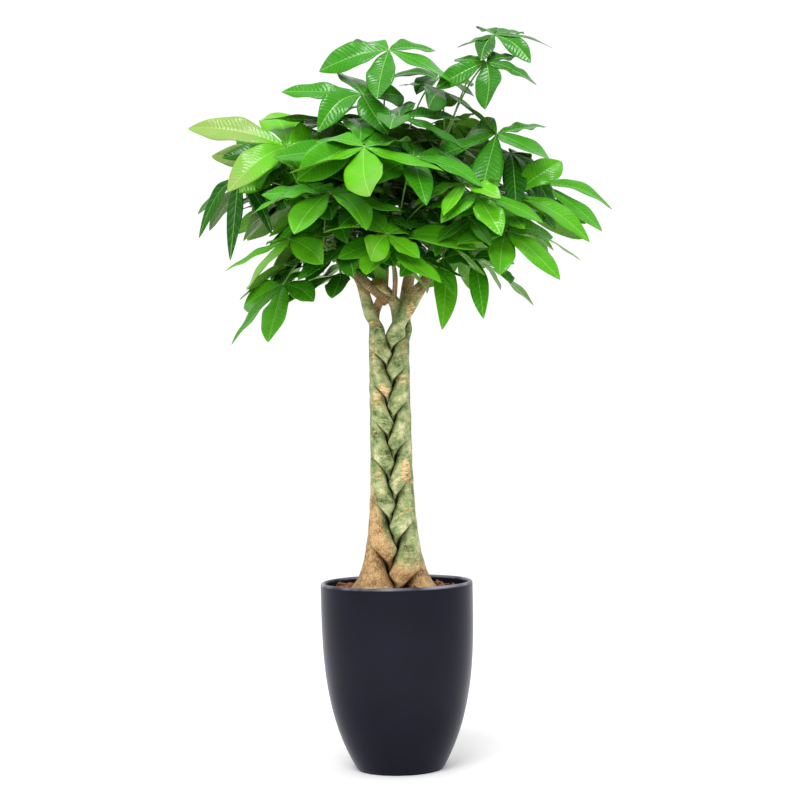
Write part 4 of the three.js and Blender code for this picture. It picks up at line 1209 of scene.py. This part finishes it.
def leaflet_rings(leaf, frames, settings, rng):
    """Leaflets as flattened tubes: along the midrib, which droops with the square of the way, each
    ring runs over the upper face and back under the lower one. The blade folds up from the midrib,
    its edges wave, and it twists and curves sideways a little on its way to the tip."""
    hub, _, _, _, length, _, droop, tone = leaf
    reach, along, across, lift = frames
    count = len(reach)
    share = np.linspace(0.012, 0.999, STATIONS)[None, :, None]
    t = np.concatenate([ACROSS, ACROSS[::-1]])[None, None]
    upper = np.concatenate([np.ones(len(ACROSS)), np.zeros(len(ACROSS))])[None, None]

    def draw(low, high):
        return rng.uniform(low, high, (count, 1, 1))

    half = length * settings.half_width * draw(0.82, 1.1) * half_width_along(share)
    half = np.maximum(half, NARROWEST)
    phase, beats = draw(0, 2 * np.pi), draw(1.6, 3.2)
    lean = draw(0.75, 1.25)
    left = np.sin(2 * np.pi * beats * share + phase)
    right = np.sin(2 * np.pi * beats * lean * share + phase * 1.7 + 1.9)
    wave = np.where(t > 0, left, right) * settings.wave * draw(0.5, 1.4) * t ** 2
    fold = settings.fold * draw(0.6, 1.5) * np.abs(t) ** 1.2 - 0.08 * t ** 4
    twist = draw(-0.7, 0.7) * share
    sickle = draw(-0.07, 0.07) * np.sin(np.pi * share)
    sag = draw(-0.06, 0.08) * np.sin(np.pi * share)
    rib = np.exp(-(t / RIB_WIDTH) ** 2) * (1 - 0.75 * share)
    skin = settings.thickness / 2 * np.where(upper > 0.5, 1 - 1.2 * rib, -1 - 3.0 * rib)
    rise = (fold + wave) * half
    sideways = t * half * np.cos(twist) - rise * np.sin(twist) + sickle * reach[:, None, None]
    upward = t * half * np.sin(twist) + rise * np.cos(twist) + sag * reach[:, None, None] + skin
    forward = share * reach[:, None, None] - 0.10 * np.abs(t) ** 2 * half
    forward, sideways, upward = np.broadcast_arrays(forward, sideways, upward)
    points = (
        hub + forward[..., None] * along[:, None, None] + sideways[..., None] * across[:, None, None]
        + upward[..., None] * lift[:, None, None])
    points[..., 2] -= droop * reach[:, None, None] * share ** 2
    # painted shade: deep inside the crown the leaves are drawn darker, down to half their tone
    from_middle = (points - np.array(CROWN_MIDDLE) * MM) / (np.array(CROWN_REACH) * MM)
    light = smoothstep(0.4, 0.95, np.linalg.norm(from_middle, axis=-1))
    tones = np.clip((tone + draw(-0.1, 0.1)) * (0.50 + 0.50 * light), 0, 1)
    blade = np.stack(np.broadcast_arrays(share * reach[:, None, None], t * half, draw(0, 1)), -1)
    state = np.stack(np.broadcast_arrays(tones, upper, 0.0), -1)
    return points, blade, state


def stalk_control(start, end, solid_points):
    """The control point of a leaf stalk's curve: halfway from start to end and raised by one of the
    bows. The one whose thirds lie nearest to points of the solid counts, and without a solid the
    first."""
    best = None
    for bow in BOWS:
        control = (start + end) / 2
        control[2] += bow * np.linalg.norm(end - start)
        if solid_points is None:
            return control
        thirds, _, _ = along_curve(start, control, end, np.array([1 / 3, 2 / 3]))
        off = np.linalg.norm(thirds[:, None] - solid_points[None], axis=-1)
        off = np.sort(off, axis=1)[:, :3].mean()
        if best is None or off < best[0]:
            best = (off, control)
    return best[1]


def add_pipe(shape, points, tangents, radius, columns):
    """A round stalk, with the blade attributes left empty."""
    rings = pipe(points, tangents, radius, columns)[None]
    shape.add_tubes(rings, slot=1, blade=np.zeros_like(rings), leaf=np.zeros_like(rings))


def add_axis(shape, shoot):
    """The shoot's own green axis: it goes on from its woody arm, in a curve whose control point lies
    straight on from the arm, half way to the tip. Gives the curve's three points."""
    before, end = (np.array(p) * MM for p in shoot["arm"][-2:])
    onward = unit(end - before)
    tip = np.array(shoot["tip"]) * MM
    start = end + onward * SHOOT_GAP
    control = start + onward * np.linalg.norm(tip - start) / 2
    share = np.linspace(0, 1, AXIS_ROWS)
    points, tangents, length = along_curve(start, control, tip, share)
    thicker, fading = SHOOT_COLLAR
    radius = shoot["radii"][1] * MM * (1 - SHOOT_TAPER * share) + thicker * np.exp(-share * length / fading)
    add_pipe(shape, points, tangents, radius, AXIS_COLUMNS)
    return start, control, tip


def add_leaf(shape, axis, share, leaf, settings, rng, solid_points=None):
    """A leaf with its stalk, which leaves the shoot's axis at a share of its length. The stalk is
    thicker at both its ends."""
    root, _, _ = along_curve(*axis, np.array([share]))
    _, _, up = leaf_plane(*leaf[1:4])
    under_hub = leaf[0] - up * STALK_END * MM
    control = stalk_control(root[0], under_hub, solid_points)
    along = np.linspace(0, 1, STALK_ROWS)
    points, tangents, length = along_curve(root[0], control, under_hub, along)
    way = along * length
    radius = STALK_RADIUS + STALK_ROOT[0] * np.exp(-way / STALK_ROOT[1])
    radius = radius + STALK_HUB[0] * np.exp(-(length - way) / STALK_HUB[1])
    add_pipe(shape, points, tangents, radius, STALK_COLUMNS)
    frames = leaflet_frames(leaf, solid_points)
    if len(frames[0]):
        rings, blade, state = leaflet_rings(leaf, frames, settings, rng)
        shape.add_tubes(rings, blade=blade, leaf=state)


def points_of(solid):
    """The points of a node of the frame."""
    points = np.empty(len(solid.vertices) * 3, dtype=np.float32)
    solid.vertices.foreach_get("co", points)
    return points.reshape(-1, 3).astype(float)


class MONEYTREE_OT_shoots(bpy.types.Operator):
    """Build the green shoots with their leaf stalks and leaves"""
    bl_idname = "money_tree.shoots"
    bl_label = "Leafy shoots"

    def execute(self, context):
        settings = context.scene.money_tree.leaf
        materials = [waxy_leaf(settings), green_stalk()]
        for order, (name, leaves) in enumerate(all_leaves().items()):
            rng = np.random.default_rng(SHOOT_SEED + order)
            solid_points = points_of(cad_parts[f"shoot_{name}"].data)
            shape = Shape()
            axis = add_axis(shape, SHOOTS[name])
            for i, leaf in enumerate(leaves):
                share = HIGHEST_LEAF - LEAF_STEP * i
                add_leaf(shape, axis, share, leaf, settings, rng, solid_points)
            for share, leaf in inner_leaves(SHOOTS[name], axis, rng):
                add_leaf(shape, axis, share, leaf, settings, rng)
            piece = shape.build(f"leafy_shoot_{name}", materials)
            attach(piece, "root")
            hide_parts(f"shoot_{name}")
        return {"FINISHED"}


# ------------------------------------------------------------------ stage

FLOOR_LEVEL = -0.0002  # a hair under the pot's foot
FLOOR_HOLE = 0.05  # radius of the floor's middle face
FLOOR_REACH = 60.0
FLOOR_ROWS = 40
FLOOR_COLUMNS = 96
SKY_STRENGTH = 1.05
# name, place, side and power of each softbox, and the height that all of them look at
SOFTBOXES = (("key_softbox", (-0.6, -2.9, 3.1), 2.0, 100), ("top_softbox", (0.3, -0.2, 3.6), 0.6, 52))
LIT_HEIGHT = 0.95
SENSOR_WIDTH = 36  # mm
FARTHEST = 200.0  # that the camera still sees


def studio_floor(stage):
    """Pale studio floor with a barely seen unevenness, half a metre wide."""
    material, tree = new_material("Pale studio floor")
    place = put(tree, "TexCoord")["Object"]
    cloud = put(tree, "TexNoise", {"Scale": 2.0}, {"Vector": place})["Fac"]
    tint = put(
        tree, "Mix", {"data_type": "RGBA", BASE: linear(stage.floor), OVER: linear("#FBFBFB")},
        {"Factor": cloud})[MIXED]
    surface = put(
        tree, "BsdfPrincipled", {"Roughness": 0.8, "Specular IOR Level": 0.1},
        {"Base Color": tint})["BSDF"]
    put(tree, "OutputMaterial", None, {"Surface": surface})
    return material


def floor_mesh():
    """A level disc: rings whose radius grows with the fourth power of their share, round one face."""
    share = np.linspace(0, 1, FLOOR_ROWS)[:, None] ** 4
    turn = np.linspace(0, 2 * np.pi, FLOOR_COLUMNS, endpoint=False)[None]
    radius = FLOOR_HOLE + FLOOR_REACH * share
    level = np.full((FLOOR_ROWS, FLOOR_COLUMNS), FLOOR_LEVEL)
    points = np.stack([radius * np.cos(turn), radius * np.sin(turn), level], -1)
    row, column = np.meshgrid(np.arange(FLOOR_ROWS - 1), np.arange(FLOOR_COLUMNS), indexing="ij")
    here = row * FLOOR_COLUMNS + column
    beside = row * FLOOR_COLUMNS + (column + 1) % FLOOR_COLUMNS
    faces = np.stack([here, here + FLOOR_COLUMNS, beside + FLOOR_COLUMNS, beside], -1)
    faces = faces.reshape(-1, 4).tolist()
    faces.append(list(range(FLOOR_COLUMNS)))
    mesh = bpy.data.meshes.new("studio_floor")
    mesh.from_pydata(points.reshape(-1, 3).tolist(), [], faces)
    return mesh


def add_softbox(scene, name, place, side, power):
    """A square area light that looks at the lit height above the pot's middle."""
    lamp = bpy.data.lights.new(name, "AREA")
    lamp.size = side
    lamp.energy = power
    light = bpy.data.objects.new(name, lamp)
    scene.collection.objects.link(light)
    light.location = place
    aim = np.array([0.0, 0.0, LIT_HEIGHT]) - np.array(place)
    rise = np.arctan2(aim[2], np.hypot(aim[0], aim[1]))
    light.rotation_euler = (np.pi / 2 + rise, 0, np.arctan2(-aim[0], aim[1]))


class MONEYTREE_OT_stage(bpy.types.Operator):
    """Build the pale floor, the soft lights and the camera"""
    bl_idname = "money_tree.stage"
    bl_label = "Stage"

    def execute(self, context):
        scene = context.scene
        stage = scene.money_tree.stage
        floor = bpy.data.objects.new("studio_floor", floor_mesh())
        floor.data.materials.append(studio_floor(stage))
        scene.collection.objects.link(floor)

        world = bpy.data.worlds.new("Soft white studio")
        world.use_nodes = True
        world.node_tree.nodes["Background"].inputs["Color"].default_value = (1, 1, 1, 1)
        world.node_tree.nodes["Background"].inputs["Strength"].default_value = SKY_STRENGTH
        scene.world = world
        for name, place, side, power in SOFTBOXES:
            add_softbox(scene, name, place, side, power)

        camera = bpy.data.objects.new("photo_camera", bpy.data.cameras.new("photo_camera"))
        scene.collection.objects.link(camera)
        camera.location = (stage.aside, -stage.distance, stage.eye)
        camera.rotation_euler = (np.pi / 2, stage.roll, 0)
        camera.data.sensor_width = SENSOR_WIDTH
        camera.data.lens = stage.lens
        camera.data.clip_end = FARTHEST
        scene.camera = camera
        scene.view_settings.view_transform = "Standard"
        return {"FINISHED"}


class MONEYTREE_PT_panel(bpy.types.Panel):
    """Lists the steps that build the plant"""
    bl_idname = "MONEYTREE_PT_panel"
    bl_label = "Money tree"
    bl_space_type = "VIEW_3D"
    bl_region_type = "UI"
    bl_category = "Money tree"

    def draw(self, context):
        for operator in OPERATORS:
            self.layout.operator(operator.bl_idname)
        settings = context.scene.money_tree
        for group in (settings.pot, settings.soil, settings.trunk, settings.leaf, settings.stage):
            box = self.layout.box()
            for name in group.__annotations__:
                box.prop(group, name)


OPERATORS = (
    MONEYTREE_OT_stage, MONEYTREE_OT_pot, MONEYTREE_OT_soil, MONEYTREE_OT_stems, MONEYTREE_OT_shoots,
)
CLASSES = (
    PotSettings, SoilSettings, TrunkSettings, LeafSettings, StageSettings, MoneyTreeSettings,
    *OPERATORS, MONEYTREE_PT_panel,
)


def register():
    for item in CLASSES:
        bpy.utils.register_class(item)
    bpy.types.Scene.money_tree = bpy.props.PointerProperty(type=MoneyTreeSettings)


def unregister():
    del bpy.types.Scene.money_tree
    for item in reversed(CLASSES):
        bpy.utils.unregister_class(item)


def main():
    register()
    bpy.ops.money_tree.stage()
    bpy.ops.money_tree.pot()
    bpy.ops.money_tree.soil()
    bpy.ops.money_tree.stems()
    bpy.ops.money_tree.shoots()


if __name__ == "__main__":
    main()
